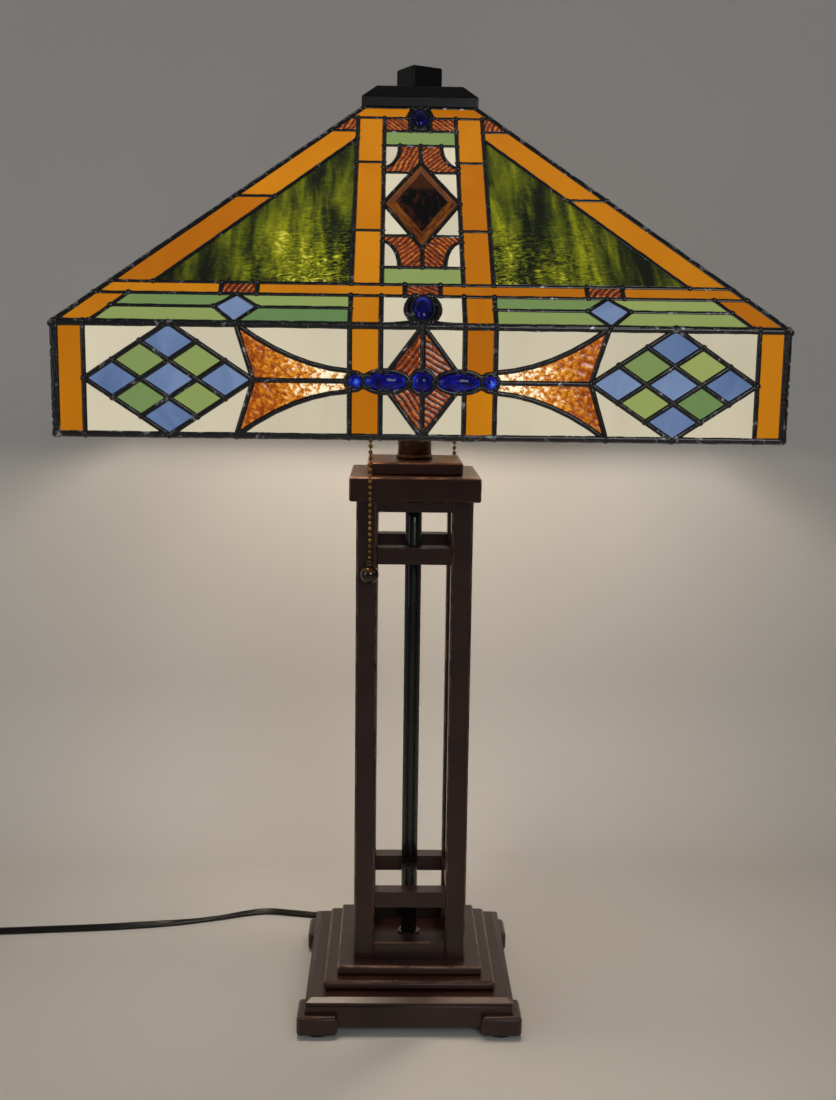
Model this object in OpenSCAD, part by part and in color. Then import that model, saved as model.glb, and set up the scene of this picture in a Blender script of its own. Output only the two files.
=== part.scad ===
// Two-light table lamp with a square leaded-glass shade on an open four-post column.
// Millimetres, +Z up, origin on the table under the middle of the base, front face towards -Y.

/* [Shade] */
// Overall width of the shade over its corner beads
shade_w = 406.4; // [400:0.2:412]
// Height of the lower rim of the shade above the table
rim_z = 429; // [425:1:433]
// Height of the upright skirt
skirt_h = 62; // [60:1:64]
// Height of the roof, from the fold to the cap
roof_h = 143; // [141:1:145]
// Thickness of the glass
glass_t = 3; // [2.5:0.1:3.2]
// Width of the lead between two pieces of glass
lead_w = 3; // [2.4:0.1:3.4]

/* [Column] */
// Overall width of the square column
column_w = 80.4; // [78:0.2:82]
// Width of one post
post_w = 14.7; // [13:0.1:15]
// Height of the foot of the column above the table
column_z = 41; // [40:1:42]
// Height of the column
column_h = 334; // [330:1:336]

/* [Base] */
// Width over the corner feet
feet_w = 158; // [156:1:160]
// Width of the tray under the tiers
tray_w = 146.6; // [145:0.2:148]

/* [Lights] */
// Tilt of each socket above the horizontal
socket_tilt = 35; // [33:1:37]
// Turn of the pair of sockets about the column
cluster_turn = 19; // [16:1:22]
// How far a pull chain travels
pull_travel = 8; // [6:1:8]

/* [Hidden] */
$fn = 48;
gap = 0.3;
half_lead = lead_w / 2;

// ---- Shade frame: one plane for each roof face and each skirt face ----
bead_proud = 1.4;
plane = shade_w / 2 - bead_proud;
fold_z = rim_z + skirt_h;
cap_half = 38.2;
aperture_half = 36.8;
roof_run = plane - aperture_half;
pitch = atan2(roof_h, roof_run);
roof_len = norm([roof_run, roof_h]);
lead_t = glass_t + 0.4;
hip_set = 1.2;
hip_edge = 2.6;
skirt_edge = 3.6;
fold_r = 3.2;
rim_r = 2.6;
hip_r = 2.8;
hip_in = [0.48, 0.48, -1.1];
sheet = 1.2;
cap_z = fold_z + roof_h;
cap_top = cap_z + 15;

// ---- Base and column ----
pipe_r = 4.8;
pipe_hole_r = 4.85;
riser_r = 3.2;
tray_half = tray_w / 2;
tray_low = 6.5;
tray_top = 27;
pad_h = 2;
foot_w = 28.4;
foot_at = (feet_w - foot_w) / 2;
post_at = (column_w - post_w) / 2;
rail_half = column_w / 2 - post_w;
plate_z = column_z + column_h;
neck_z = plate_z + 26;

// ---- Lights: s is a distance along a socket's axis from the middle of the cluster ----
cluster_z = neck_z + 29;
shell_r = 17;
guide_s = 54.3;
guide_reach = 35.3;
guide_z = cluster_z + guide_s * sin(socket_tilt);
bead_r = 1.55;
bead_pitch = 4;
bead_count = 32;
ball_r = 6.2;
bulb_r = 24;
bulb_s = 110;

// ---- Mains cord: a flat two-core cord, wound in a coil to the left of the lamp ----
cord_w = 5.6;
cord_thick = 3;
cord_exit = [-34, tray_half, 13];
coil_r = 31;
coil_at = [-372, 42.4];
plug_at = [-409, 10, 6.8];
cord_route = [[-34, 93.3, 13], [-34.6, 98, 12.6], [-37.5, 104.5, 11], [-43.5, 110.5, 8.4],
    [-52, 114.3, 5.6], [-62, 115, 3.2], [-76, 113.5, 1.8], [-95, 116.5, 1.6], [-115, 120, 1.6],
    [-135, 117, 1.6], [-156, 109.5, 1.6], [-180, 102, 1.6], [-206, 95.5, 1.6], [-235, 90.5, 1.6],
    [-264, 87, 1.6], [-292, 84.5, 1.6], [-320, 82, 1.6], [-348, 79.8, 1.6], [-372, 79, 1.6]];
cord_tail = [[-408.6, 42.4, 7.6], [-408.9, 36, 7.5], [-409, 28.5, 7.2], [-409, 21, 6.8]];

// Half width of a roof face at a distance s up the slope
function roof_half(s) = plane - s * cos(pitch);
// A point on the hip side of the roof, set in by d
function hip(s, d) = [roof_half(s) - d, s];

// ---- Drawing of the glass: every cell is a closed outline, anticlockwise ----
function unit(v) = v / norm(v);
function left_of(v) = [-v.y, v.x];
function corner(a, b, c, d) =
    let (m = left_of(unit(b - a)), n = left_of(unit(c - b)))
    b + (m + n) * d / (1 + m * n);
function inset(p, d) =
    [for (i = [0:len(p) - 1]) corner(p[(i + len(p) - 1) % len(p)], p[i], p[(i + 1) % len(p)], d)];
function flip(p) = [for (i = [len(p) - 1:-1:0]) [-p[i].x, p[i].y]];
function both(cells) = concat(cells, [for (p = cells) flip(p)]);
function box(x0, x1, y0, y1) = [[x0, y0], [x1, y0], [x1, y1], [x0, y1]];
// Points on a quarter of an ellipse, from angle a to angle b
function bend(centre, rx, ry, a, b, steps) =
    [for (i = [0:steps]) let (t = a + (b - a) * i / steps) centre + [rx * cos(t), ry * sin(t)]];

// Upright lines shared by roof and skirt
inner_x = 23;
outer_x = 40;
// Levels up the slope of the roof
band_low = 1.2;
band_mid = 14.5;
band_top = 25.5;
belt_top = 35.5;
ogee_low = 51;
shelf_low = 80.5;
gem_s = 112.5;
shelf_top = 144.5;
ogee_top = 174;
bar_top = 190.3;
row_top = 205.5;
top_end = roof_len - 0.6;
cut_low = 85.5;
cut_high = 155.5;
strip_cut = 118;
strip_w = 24.4;
corner_w = 19.5;
gem_half = [inner_x, 43.5];
rhomb_x = 103;
rhomb_half = [12, 11];
round_w = 10;
round_h = 24;

// Where the slanting line inside the hip strip meets the outer upright
strip_meet = (plane - strip_w - outer_x) / cos(pitch);
gem_x = gem_half.x * (shelf_low - gem_s + gem_half.y) / gem_half.y;

roof_orange = both([
    [[5, top_end], [8.5, row_top], hip(row_top, hip_set), hip(top_end, hip_set)],
    box(inner_x, outer_x, cut_high, row_top),
    box(inner_x, outer_x, cut_low, cut_high),
    box(inner_x, outer_x, belt_top, cut_low),
    [hip(strip_cut, strip_w), hip(strip_cut, hip_set), hip(bar_top, hip_set), [outer_x, bar_top],
        [outer_x, strip_meet]],
    [hip(belt_top, strip_w), hip(belt_top, hip_set), hip(strip_cut, hip_set), hip(strip_cut, strip_w)],
    box(10, 92.3, band_top, belt_top),
    [[112.5, band_top], hip(band_top, hip_set), hip(belt_top, hip_set), [112.5, belt_top]],
    box(inner_x, outer_x, band_low, band_top),
    [hip(band_low, corner_w), hip(band_low, hip_set), hip(band_top, hip_set), hip(band_top, corner_w)]
]);
// Clockwise outlines are turned round so that insets always go inwards
function area(p) =
    [for (i = [0:len(p) - 1]) cross(p[i], p[(i + 1) % len(p)])] * [for (i = p) 1];
function turned(p) = area(p) < 0 ? [for (i = [len(p) - 1:-1:0]) p[i]] : p;

roof_mahogany = concat(
    both([
        box(6.5, inner_x, bar_top, row_top),
        [[outer_x, bar_top], hip(bar_top, hip_set), hip(row_top, hip_set), [outer_x, row_top]],
        box(92.3, 112.5, band_top, belt_top),
        concat([[0, ogee_top], [0, gem_s + gem_half.y], [gem_x, shelf_top], [inner_x, shelf_top]],
            bend([inner_x, ogee_top], round_w, round_h, 270, 180, 6)),
        concat([[0, ogee_low], [inner_x - round_w, ogee_low]],
            bend([inner_x, ogee_low], round_w, round_h, 165, 90, 5),
            [[inner_x, shelf_low], [gem_x, shelf_low], [0, gem_s - gem_half.y]])
    ]),
    [box(-10, 10, band_top, belt_top)]);
roof_white = both([
    concat([[inner_x, ogee_top]], bend([inner_x, ogee_top], round_w, round_h, 180, 270, 6)),
    concat([[inner_x, ogee_low]], bend([inner_x, ogee_low], round_w, round_h, 90, 180, 6)),
    [[gem_x, shelf_top], [inner_x, gem_s], [inner_x, shelf_top]],
    [[gem_x, shelf_low], [inner_x, shelf_low], [inner_x, gem_s]],
    concat([[inner_x, band_low], [inner_x, band_top]],
        bend([0, band_mid], 9.5, 13, 58, -58, 6))
]);
roof_green_bars = [
    box(-inner_x, inner_x, belt_top, ogee_low),
    box(-inner_x, inner_x, ogee_top, bar_top)
];
roof_green_strips = both([
    [[outer_x, band_mid], [rhomb_x - rhomb_half.x, band_mid], [rhomb_x, band_top], [outer_x, band_top]],
    [[outer_x, band_low], [rhomb_x, band_low], [rhomb_x - rhomb_half.x, band_mid], [outer_x, band_mid]],
    [[rhomb_x + rhomb_half.x, band_mid], hip(band_mid, corner_w), hip(band_top, corner_w),
        [rhomb_x, band_top]],
    [[rhomb_x, band_low], hip(band_low, corner_w), hip(band_mid, corner_w),
        [rhomb_x + rhomb_half.x, band_mid]]
]);
roof_blue = both([
    [[rhomb_x, band_low], [rhomb_x + rhomb_half.x, band_mid], [rhomb_x, band_top],
        [rhomb_x - rhomb_half.x, band_mid]]
]);
roof_streaky = both([
    [[outer_x, belt_top], hip(belt_top, strip_w), [outer_x, strip_meet]]
]);
gem_cell = [[0, gem_s - gem_half.y], [gem_half.x, gem_s], [0, gem_s + gem_half.y], [-gem_half.x, gem_s]];

// Skirt drawing: x along the face, y up from the rim
skirt_low = 1.2;
skirt_top = skirt_h + 0.2;
// Where the leading starts above the fold, and where it stops at the top of the skirt
roof_lead_low = 2;
skirt_lead_top = skirt_h - 1;
end_x = 184.5;
notch_x = 92.5;
check_x = (end_x + notch_x) / 2;
check_half = [(end_x - notch_x) / 2, (skirt_top - skirt_low) / 2];
check_y = (skirt_top + skirt_low) / 2;
tail_x = 102;
tail_narrow = 5.5;
tail_flare = 4;
// Half height of a fish-tail at x
function tail_half(x) =
    let (t = (x - outer_x) / (tail_x - outer_x))
    tail_narrow + tail_flare * t + (check_half.y - tail_narrow - tail_flare) * t * t;
function tail_arc(a, b, up) =
    [for (i = [0:6]) let (x = a + (b - a) * i / 6) [x, check_y + up * tail_half(x)]];
// One cell of the three by three chequered rhombus
function check_at(i, j) =
    [check_x + check_half.x * (i + j - 3) / 3, check_y + check_half.y * (i - j) / 3];
function check_cell(i, j) = [check_at(i, j), check_at(i, j + 1), check_at(i + 1, j + 1), check_at(i + 1, j)];

skirt_orange = both([
    [[end_x, skirt_low], [plane - hip_edge, skirt_low], [plane - hip_edge, skirt_top], [end_x, skirt_top]],
    box(inner_x, outer_x, check_y + 3, skirt_top),
    box(inner_x, outer_x, skirt_low, check_y - 3)
]);
skirt_white = both([
    [[end_x, check_y], [end_x, skirt_top], [check_x, skirt_top]],
    [[end_x, check_y], [check_x, skirt_low], [end_x, skirt_low]],
    [[check_x, skirt_top], [tail_x, skirt_top], [notch_x, check_y]],
    [[check_x, skirt_low], [notch_x, check_y], [tail_x, skirt_low]],
    concat([[outer_x, skirt_top]], tail_arc(outer_x, tail_x, 1)),
    concat([[outer_x, skirt_low]], tail_arc(outer_x, tail_x, -1)),
    [[0, skirt_top], [inner_x, check_y], [inner_x, skirt_top]],
    [[0, skirt_low], [inner_x, skirt_low], [inner_x, check_y]]
]);
skirt_blue = both([for (i = [0:2], j = [0:2]) if ((i + j) % 2 == 0) check_cell(i, j)]);
skirt_green = both([for (i = [0:2], j = [0:2]) if ((i + j) % 2 == 1) check_cell(i, j)]);
skirt_amber = both([
    concat([[notch_x, check_y], [outer_x, check_y]], tail_arc(outer_x, tail_x, 1)),
    concat([[notch_x, check_y], [outer_x, check_y]], tail_arc(outer_x, tail_x, -1))
]);
skirt_mahogany = both([
    [[0, check_y], [inner_x, check_y], [0, skirt_top]],
    [[0, check_y], [inner_x, check_y], [0, skirt_low]]
]);

// Jewels: middle of each and half its length and width
round_gem_r = 5.8;
small_gem_r = 4;
top_oval_s = 205;
spindle_half = [12.3, 5.2];
spindle_x = 20.2;
small_gem_x = 37.2;
oval_half = [5.4, 9.2];

// ---- Placing a face: 0 front, 1 right, 2 back, 3 left ----
module roof_faces() {
    for (k = [0:3])
        rotate([0, 0, 90 * k])
            translate([0, -plane, fold_z])
                rotate([pitch, 0, 0])
                    children();
}
module skirt_faces() {
    for (k = [0:3])
        rotate([0, 0, 90 * k])
            translate([0, -plane, rim_z])
                rotate([90, 0, 0])
                    children();
}
module pane(cells, t) {
    for (p = cells)
        translate([0, 0, -t - 0.2])
            linear_extrude(t)
                polygon(inset(turned(p), half_lead));
}
module roof_slab(edge, from_top, t) {
    translate([0, 0, -t])
        linear_extrude(t)
            polygon([[-roof_half(roof_lead_low) + edge, roof_lead_low],
                [roof_half(roof_lead_low) - edge, roof_lead_low],
                [roof_half(roof_len - from_top) - edge, roof_len - from_top],
                [-roof_half(roof_len - from_top) + edge, roof_len - from_top]]);
}
module skirt_slab(edge, t) {
    translate([0, 0, -t])
        linear_extrude(t)
            polygon(box(-plane + edge, plane - edge, skirt_low, skirt_lead_top));
}

// A spindle-shaped jewel lying along x, half sunk in the lead
module spindle() {
    profile = [for (i = [0:12]) let (a = 90 - 15 * i)
        [spindle_half.y * pow(cos(a), 1.2), spindle_half.x * sin(a)]];
    rotate([0, 90, 0])
        rotate_extrude()
            polygon(profile);
}
// An oval cabochon lying along y
module oval() {
    profile = [for (i = [0:12]) let (a = 90 - 15 * i) [oval_half.x * cos(a), oval_half.y * sin(a)]];
    rotate([90, 0, 0])
        rotate_extrude()
            polygon(profile);
}
module roof_cabochons() {
    for (y = [top_oval_s, band_mid])
        translate([0, y, -1.2])
            oval();
}
module skirt_cabochons() {
    translate([0, check_y, -1.4]) {
        sphere(round_gem_r);
        for (side = [-1, 1]) {
            translate([side * spindle_x, 0, 0])
                spindle();
            translate([side * small_gem_x, 0, 0.6])
                sphere(small_gem_r);
        }
    }
}
// Room left in the skirt glass for the jewels and the solder round them
module skirt_room() {
    for (room = [[0, 7, 7], [-spindle_x, 13.3, 6.4], [spindle_x, 13.3, 6.4], [-small_gem_x, 5.2, 5.2],
        [small_gem_x, 5.2, 5.2]])
        translate([0, 0, -6])
            linear_extrude(12)
                polygon(bend([room.x, check_y], room.y, room.z, 0, 345, 23));
}
module gem_body() {
    hull() {
        translate([0, 0, -glass_t - 0.2])
            linear_extrude(glass_t + 0.2)
                polygon(inset(gem_cell, half_lead));
        translate([0, 0, 1.4])
            linear_extrude(0.4)
                polygon(inset(gem_cell, half_lead + 3.4));
    }
}
module roof_glass(cells) {
    roof_faces()
        pane(cells, glass_t);
}
module skirt_glass(cells) {
    skirt_faces()
        difference() {
            pane(cells, glass_t);
            skirt_room();
        }
}

// ---- Shade sub-parts ----
module orange_glass() {
    color([0.82, 0.5, 0.08]) {
        roof_glass(roof_orange);
        skirt_glass(skirt_orange);
    }
}
module mahogany_glass() {
    color([0.45, 0.16, 0.06]) {
        roof_glass(roof_mahogany);
        skirt_glass(skirt_mahogany);
    }
}
module white_glass() {
    color([0.9, 0.87, 0.78]) {
        roof_glass(roof_white);
        skirt_glass(skirt_white);
    }
}
module green_glass() {
    color([0.52, 0.66, 0.42]) {
        roof_glass(concat(roof_green_bars, roof_green_strips));
        skirt_glass(skirt_green);
    }
}
module blue_glass() {
    color([0.45, 0.55, 0.76]) {
        roof_glass(roof_blue);
        skirt_glass(skirt_blue);
    }
}
module streaky_glass() {
    color([0.42, 0.48, 0.1])
        roof_glass(roof_streaky);
}
module amber_glass() {
    color([0.9, 0.58, 0.2])
        skirt_glass(skirt_amber);
}
module bevelled_jewels() {
    color([0.3, 0.13, 0.05])
        roof_faces()
            gem_body();
}
module cobalt_jewels() {
    color([0.05, 0.05, 0.5]) {
        roof_faces()
            roof_cabochons();
        skirt_faces()
            skirt_cabochons();
    }
}
module roof_leading() {
    color([0.09, 0.09, 0.1])
        roof_faces()
            difference() {
                roof_slab(hip_edge, 0, lead_t);
                pane_holes(concat(roof_orange, roof_mahogany, roof_white, roof_green_bars,
                    roof_green_strips, roof_blue, roof_streaky, [gem_cell]));
                roof_cabochons();
            }
}
// Openings right through the lead, one for each piece of glass
module pane_holes(cells) {
    for (p = cells)
        translate([0, 0, -lead_t - 1])
            linear_extrude(lead_t + 2)
                polygon(inset(turned(p), half_lead));
}
module skirt_leading() {
    color([0.09, 0.09, 0.1])
        skirt_faces()
            difference() {
                skirt_slab(skirt_edge, lead_t);
                difference() {
                    pane_holes(concat(skirt_orange, skirt_white, skirt_blue, skirt_green, skirt_amber,
                        skirt_mahogany));
                    skirt_room();
                }
                skirt_cabochons();
            }
}
// Middle of the bead on the front left hip, s up the slope
function hip_bead(s) = [-roof_half(s), -roof_half(s), fold_z + s * sin(pitch)] + hip_in;
// An eight-sided bar from a to b
module bar(a, b, r) {
    d = b - a;
    translate(a)
        rotate([0, acos(d.z / norm(d)), atan2(d.y, d.x)])
            cylinder(h = norm(d), r = r, $fn = 8);
}
// A square frame of eight-sided bead, mitred at its corners
module bead_frame(mid, z, r) {
    t = r * tan(22.5);
    difference() {
        square_block([[mid + t, z - r], [mid + r, z - t], [mid + r, z + t], [mid + t, z + r]]);
        square_block([[mid - t, z - r - 1], [mid - t, z - r], [mid - r, z - t], [mid - r, z + t],
            [mid - t, z + r], [mid - t, z + r + 1]]);
    }
}
module edge_solder() {
    fold_in = shade_w / 2 - fold_r;
    rim_in = shade_w / 2 - rim_r;
    color([0.12, 0.12, 0.13])
        difference() {
            union() {
                bead_frame(fold_in, fold_z - 1, fold_r);
                bead_frame(rim_in, rim_z + rim_r, rim_r);
                for (k = [0:3])
                    rotate([0, 0, 90 * k]) {
                        translate([-rim_in, -rim_in, rim_z + rim_r])
                            rotate([0, 0, 22.5])
                                cylinder(h = skirt_h - rim_r - 2, r = rim_r, $fn = 8);
                        bar(hip_bead(0), hip_bead(roof_len - 3), hip_r);
                    }
            }
            roof_faces()
                roof_slab(hip_edge, 0, lead_t);
            skirt_faces()
                skirt_slab(skirt_edge, lead_t);
        }
}
// A flat-topped pyramid on an upright rim
module cap_form(half, low, rim, high, top_half) {
    translate([-half, -half, low])
        cube([2 * half, 2 * half, rim - low]);
    hull() {
        translate([-half, -half, rim - 0.1])
            cube([2 * half, 2 * half, 0.1]);
        translate([-top_half, -top_half, high - 0.1])
            cube([2 * top_half, 2 * top_half, 0.1]);
    }
}
module vase_cap() {
    color([0.1, 0.09, 0.1])
        difference() {
            cap_form(cap_half, cap_z, cap_z + 6.5, cap_top, 28.5);
            cap_form(cap_half - sheet, cap_z + sheet, cap_z + 6, cap_top - sheet, 28);
            translate([0, 0, cap_z + sheet / 2])
                cube([60, 60, 2 * sheet], center = true);
            translate([0, 0, cap_top - 5])
                cylinder(h = 10, r = riser_r + 0.4);
        }
}
module finial() {
    color([0.1, 0.09, 0.1])
        difference() {
            translate([0, 0, cap_top + gap + 8])
                rotate([0, 0, 29])
                    eased_box(23, 23, 16, 0.8);
            translate([0, 0, cap_top])
                cylinder(h = 12.6, r = riser_r + 0.05);
        }
}

// ---- Plain forms ----
function eight(x, y, c) = [[-x + c, -y], [x - c, -y], [x, -y + c], [x, y - c], [x - c, y], [-x + c, y],
    [-x, y - c], [-x, -y + c]];
// A box with every edge eased by c, centred on its middle
module eased_box(x, y, z, c) {
    intersection() {
        linear_extrude(z, center = true)
            polygon(eight(x / 2, y / 2, c));
        rotate([90, 0, 0])
            linear_extrude(y, center = true)
                polygon(eight(x / 2, z / 2, c));
        rotate([90, 0, 90])
            linear_extrude(x, center = true)
                polygon(eight(y / 2, z / 2, c));
    }
}
// A square block whose four sides all follow one profile of half widths and heights
module square_block(side) {
    outline = concat(side, [for (i = [len(side) - 1:-1:0]) [-side[i].x, side[i].y]]);
    intersection() {
        rotate([90, 0, 0])
            linear_extrude(420, center = true)
                polygon(outline);
        rotate([90, 0, 90])
            linear_extrude(420, center = true)
                polygon(outline);
    }
}
module plate(half, low, high, c) {
    difference() {
        translate([0, 0, (low + high) / 2])
            eased_box(2 * half, 2 * half, high - low, c);
        translate([0, 0, low - 1])
            cylinder(h = high - low + 2, r = pipe_hole_r);
    }
}
module hex_nut(r, low, h, hole) {
    translate([0, 0, low])
        difference() {
            cylinder(h = h, r = r, $fn = 6);
            translate([0, 0, -1])
                cylinder(h = h + 2, r = hole);
        }
}
module ring(r, low, h, hole) {
    translate([0, 0, low])
        difference() {
            cylinder(h = h, r = r);
            translate([0, 0, -1])
                cylinder(h = h + 2, r = hole);
        }
}

// ---- Base ----
module tray_form() {
    square_block([[tray_half, tray_low], [tray_half, 21.4], [tray_half - 0.7, 21.8], [tray_half - 0.7, 22.4],
        [tray_half, 22.8], [tray_half, 24.5], [tray_half - 4.6, tray_top]]);
}
module base_tray() {
    color([0.17, 0.11, 0.1])
        difference() {
            tray_form();
            translate([-tray_half + 3.5, -tray_half + 3.5, 0])
                cube([2 * tray_half - 7, 2 * tray_half - 7, 22]);
            cylinder(h = 60, r = pipe_hole_r);
            translate([cord_exit.x, 0, cord_exit.z])
                rotate([-90, 0, 0])
                    cylinder(h = 200, r = 5.05);
        }
}
module base_feet() {
    color([0.17, 0.11, 0.1])
        difference() {
            for (x = [-1, 1], y = [-1, 1])
                translate([x * foot_at, y * foot_at, pad_h + 7.2])
                    eased_box(foot_w, foot_w, 14.4, 2);
            tray_form();
        }
}
module felt_pads() {
    color([0.1, 0.1, 0.1])
        for (x = [-1, 1], y = [-1, 1])
            translate([x * foot_at, y * foot_at, 0])
                cylinder(h = pad_h, r = 11);
}
module tier_lower() {
    color([0.19, 0.12, 0.1])
        plate(61, tray_top, tray_top + 7, 2);
}
module tier_upper() {
    color([0.19, 0.12, 0.1])
        plate(51.7, tray_top + 7, column_z, 1.2);
}
module base_weight() {
    color([0.25, 0.25, 0.26])
        difference() {
            translate([-60, -60, 10])
                cube([120, 120, 11.8]);
            cylinder(h = 60, r = pipe_hole_r);
            cylinder(h = 15, r = 12);
            cover_screw_holes(17.6);
        }
}
module cover_screw_holes(top) {
    for (x = [-45, 45], y = [-45, 45])
        translate([x, y, 0])
            cylinder(h = top, r = 1.9);
}
module base_cover() {
    color([0.2, 0.2, 0.2])
        difference() {
            translate([-69.3, -69.3, 7])
                cube([138.6, 138.6, 1.5]);
            cover_screw_holes(17.6);
        }
}
module cover_screws() {
    color([0.6, 0.6, 0.6])
        for (x = [-45, 45], y = [-45, 45])
            translate([x, y, 5]) {
                cylinder(h = 2, r = 3.8);
                cylinder(h = 12, r = 1.8);
            }
}

// ---- Column ----
module column_posts() {
    color([0.18, 0.11, 0.1])
        for (x = [-1, 1], y = [-1, 1])
            translate([x * post_at, y * post_at, column_z])
                linear_extrude(column_h)
                    polygon(eight(post_w / 2, post_w / 2, 1.3));
}
// Four rails between the posts, from low to high
module rails(low, high) {
    for (k = [0:3])
        rotate([0, 0, 90 * k])
            translate([-rail_half, -column_w / 2 + 0.8, low])
                cube([2 * rail_half, post_w - 2.2, high - low]);
}
module top_rails() {
    color([0.18, 0.11, 0.1])
        rails(column_z + column_h - 7.6, column_z + column_h);
}
module middle_rails() {
    color([0.18, 0.11, 0.1]) {
        rails(331, 342.8);
        rails(80, 91.7);
    }
}
module bottom_rails() {
    color([0.18, 0.11, 0.1])
        rails(column_z, 53.7);
}
module cap_plate_large() {
    color([0.19, 0.12, 0.1])
        plate(45.1, plate_z, plate_z + 17, 1.1);
}
module cap_plate_small() {
    color([0.19, 0.12, 0.1])
        plate(33.1, plate_z + 17, neck_z, 1);
}
module centre_tube() {
    color([0.05, 0.05, 0.05])
        ring(5.85, column_z + 3.5, column_h - 3.5, pipe_hole_r);
}
module tube_washer() {
    color([0.1, 0.1, 0.1])
        ring(8.2, column_z, 3.5, pipe_hole_r);
}
module lamp_pipe() {
    color([0.6, 0.55, 0.4])
        ring(pipe_r, 10, cluster_z - 10, 3.2);
}
module pipe_nuts() {
    color([0.6, 0.55, 0.4]) {
        hex_nut(9.5, 10, 4.5, pipe_hole_r);
        hex_nut(8.4, neck_z, 4.5, pipe_hole_r);
    }
}
module neck_ring() {
    color([0.3, 0.17, 0.12])
        translate([0, 0, neck_z])
            rotate_extrude()
                translate([11.4, 1.7])
                    circle(1.7);
}
module neck_tube() {
    color([0.2, 0.12, 0.1])
        ring(11.8, neck_z + 3.4, cluster_z - 12 - neck_z - 3.4, 10.4);
}

// ---- Lights ----
// Puts its children on a socket's axis, which is local +X from the middle of the cluster
module on_socket(side) {
    translate([0, 0, cluster_z])
        rotate([0, 0, cluster_turn + 90 - 90 * side])
            rotate([0, -socket_tilt, 0])
                children();
}
// A tube along a socket's axis from a to b
module along(a, b, r, hole) {
    translate([a, 0, 0])
        rotate([0, 90, 0])
            difference() {
                cylinder(h = b - a, r = r);
                if (hole > 0)
                    translate([0, 0, -1])
                        cylinder(h = b - a + 2, r = hole);
            }
}
module turned_along(profile) {
    rotate([0, 90, 0])
        rotate_extrude()
            polygon(profile);
}
module cluster_body() {
    color([0.7, 0.55, 0.25])
        difference() {
            union() {
                translate([0, 0, cluster_z - 12])
                    cylinder(h = 32, r = 15);
                for (side = [-1, 1])
                    on_socket(side)
                        along(6, 20, 7.5, 0);
            }
            translate([0, 0, cluster_z - 13])
                cylinder(h = 13, r = pipe_hole_r);
            translate([0, 0, cluster_z - 1])
                cylinder(h = 30, r = riser_r + 0.05);
            for (side = [-1, 1])
                on_socket(side)
                    along(7, 25, 4.9, 0);
        }
}
module cluster_cover() {
    color([0.72, 0.57, 0.27])
        translate([0, 0, cluster_z + 20])
            rotate_extrude()
                polygon([[riser_r + 0.05, 0], [15, 0], [14, 3], [7, 5], [riser_r + 0.05, 5]]);
}
module socket_nipples() {
    color([0.6, 0.55, 0.4])
        for (side = [-1, 1])
            on_socket(side)
                along(8, 31, 4.85, 3);
}
module socket_cap(side) {
    color([0.75, 0.6, 0.3])
        on_socket(side)
            turned_along([[4.9, 25], [8, 25], [9, 28], [14, 31], [shell_r, 35], [shell_r, 40],
                [shell_r - 0.9, 40], [shell_r - 0.9, 35.4], [13.4, 32], [4.9, 29]]);
}
module socket_shell(side) {
    color([0.78, 0.63, 0.32])
        on_socket(side)
            difference() {
                turned_along([[shell_r - 0.9, 40], [shell_r, 40], [shell_r, 79], [shell_r + 0.7, 80],
                    [shell_r + 0.7, 82], [shell_r, 83], [shell_r - 0.9, 83]]);
                translate([guide_s, 0, 0])
                    rotate([-90, 0, 0])
                        cylinder(h = 30, r = 3.6);
            }
}
module socket_liners() {
    color([0.75, 0.68, 0.5])
        for (side = [-1, 1])
            on_socket(side)
                along(63, 82.5, shell_r - 1, 14);
}
module switch_bodies() {
    color([0.1, 0.09, 0.09])
        for (side = [-1, 1])
            on_socket(side)
                along(40.5, 55, 12.4, 0);
}
// The arm and downward bell that a pull chain runs out of
module chain_guide(side) {
    color([0.78, 0.63, 0.32])
        difference() {
            union() {
                on_socket(side)
                    translate([guide_s, 13.2, 0])
                        rotate([-90, 0, 0])
                            cylinder(h = guide_reach - 13.2, r = 3.5);
                at_chain(side)
                    translate([0, 0, guide_z - pull_travel - 3])
                        cylinder(h = pull_travel + 7, r = 4.6);
            }
            at_chain(side)
                translate([0, 0, guide_z - pull_travel - 4])
                    cylinder(h = pull_travel + 6, r = 2.6);
        }
}
module at_chain(side) {
    rotate([0, 0, cluster_turn + 90 - 90 * side])
        translate([guide_s * cos(socket_tilt), guide_reach, 0])
            children();
}
module pull_chain(side) {
    color([0.7, 0.6, 0.35])
        at_chain(side) {
            for (i = [0:bead_count - 1])
                translate([0, 0, guide_z - bead_pitch * i])
                    sphere(bead_r, $fn = 24);
            translate([0, 0, guide_z - bead_pitch * (bead_count - 1)])
                cylinder(h = bead_pitch * (bead_count - 1), r = 0.5, $fn = 16);
        }
}
module pull_ball(side) {
    low = guide_z - bead_pitch * (bead_count - 1) - bead_r;
    color([0.3, 0.2, 0.1])
        at_chain(side) {
            translate([0, 0, low - 4.6])
                cylinder(h = 4.6, r = 2.5);
            translate([0, 0, low - 4 - ball_r])
                sphere(ball_r);
        }
}
module bulb_base(side) {
    color([0.8, 0.8, 0.82])
        on_socket(side) {
            along(60, 83, 13.1, 0);
            turned_along([[0, 56.5], [3, 56.5], [5, 57.5], [11, 60], [0, 60]]);
        }
}
module bulb_glass(side) {
    color([0.97, 0.95, 0.88])
        on_socket(side)
            turned_along(concat([[13, 83], [13.6, 87]], bulb_arc(bulb_r, 0, 1), bulb_arc(bulb_r - 1, 10, -1),
                [[12.6, 87], [12, 83]]));
}
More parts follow.
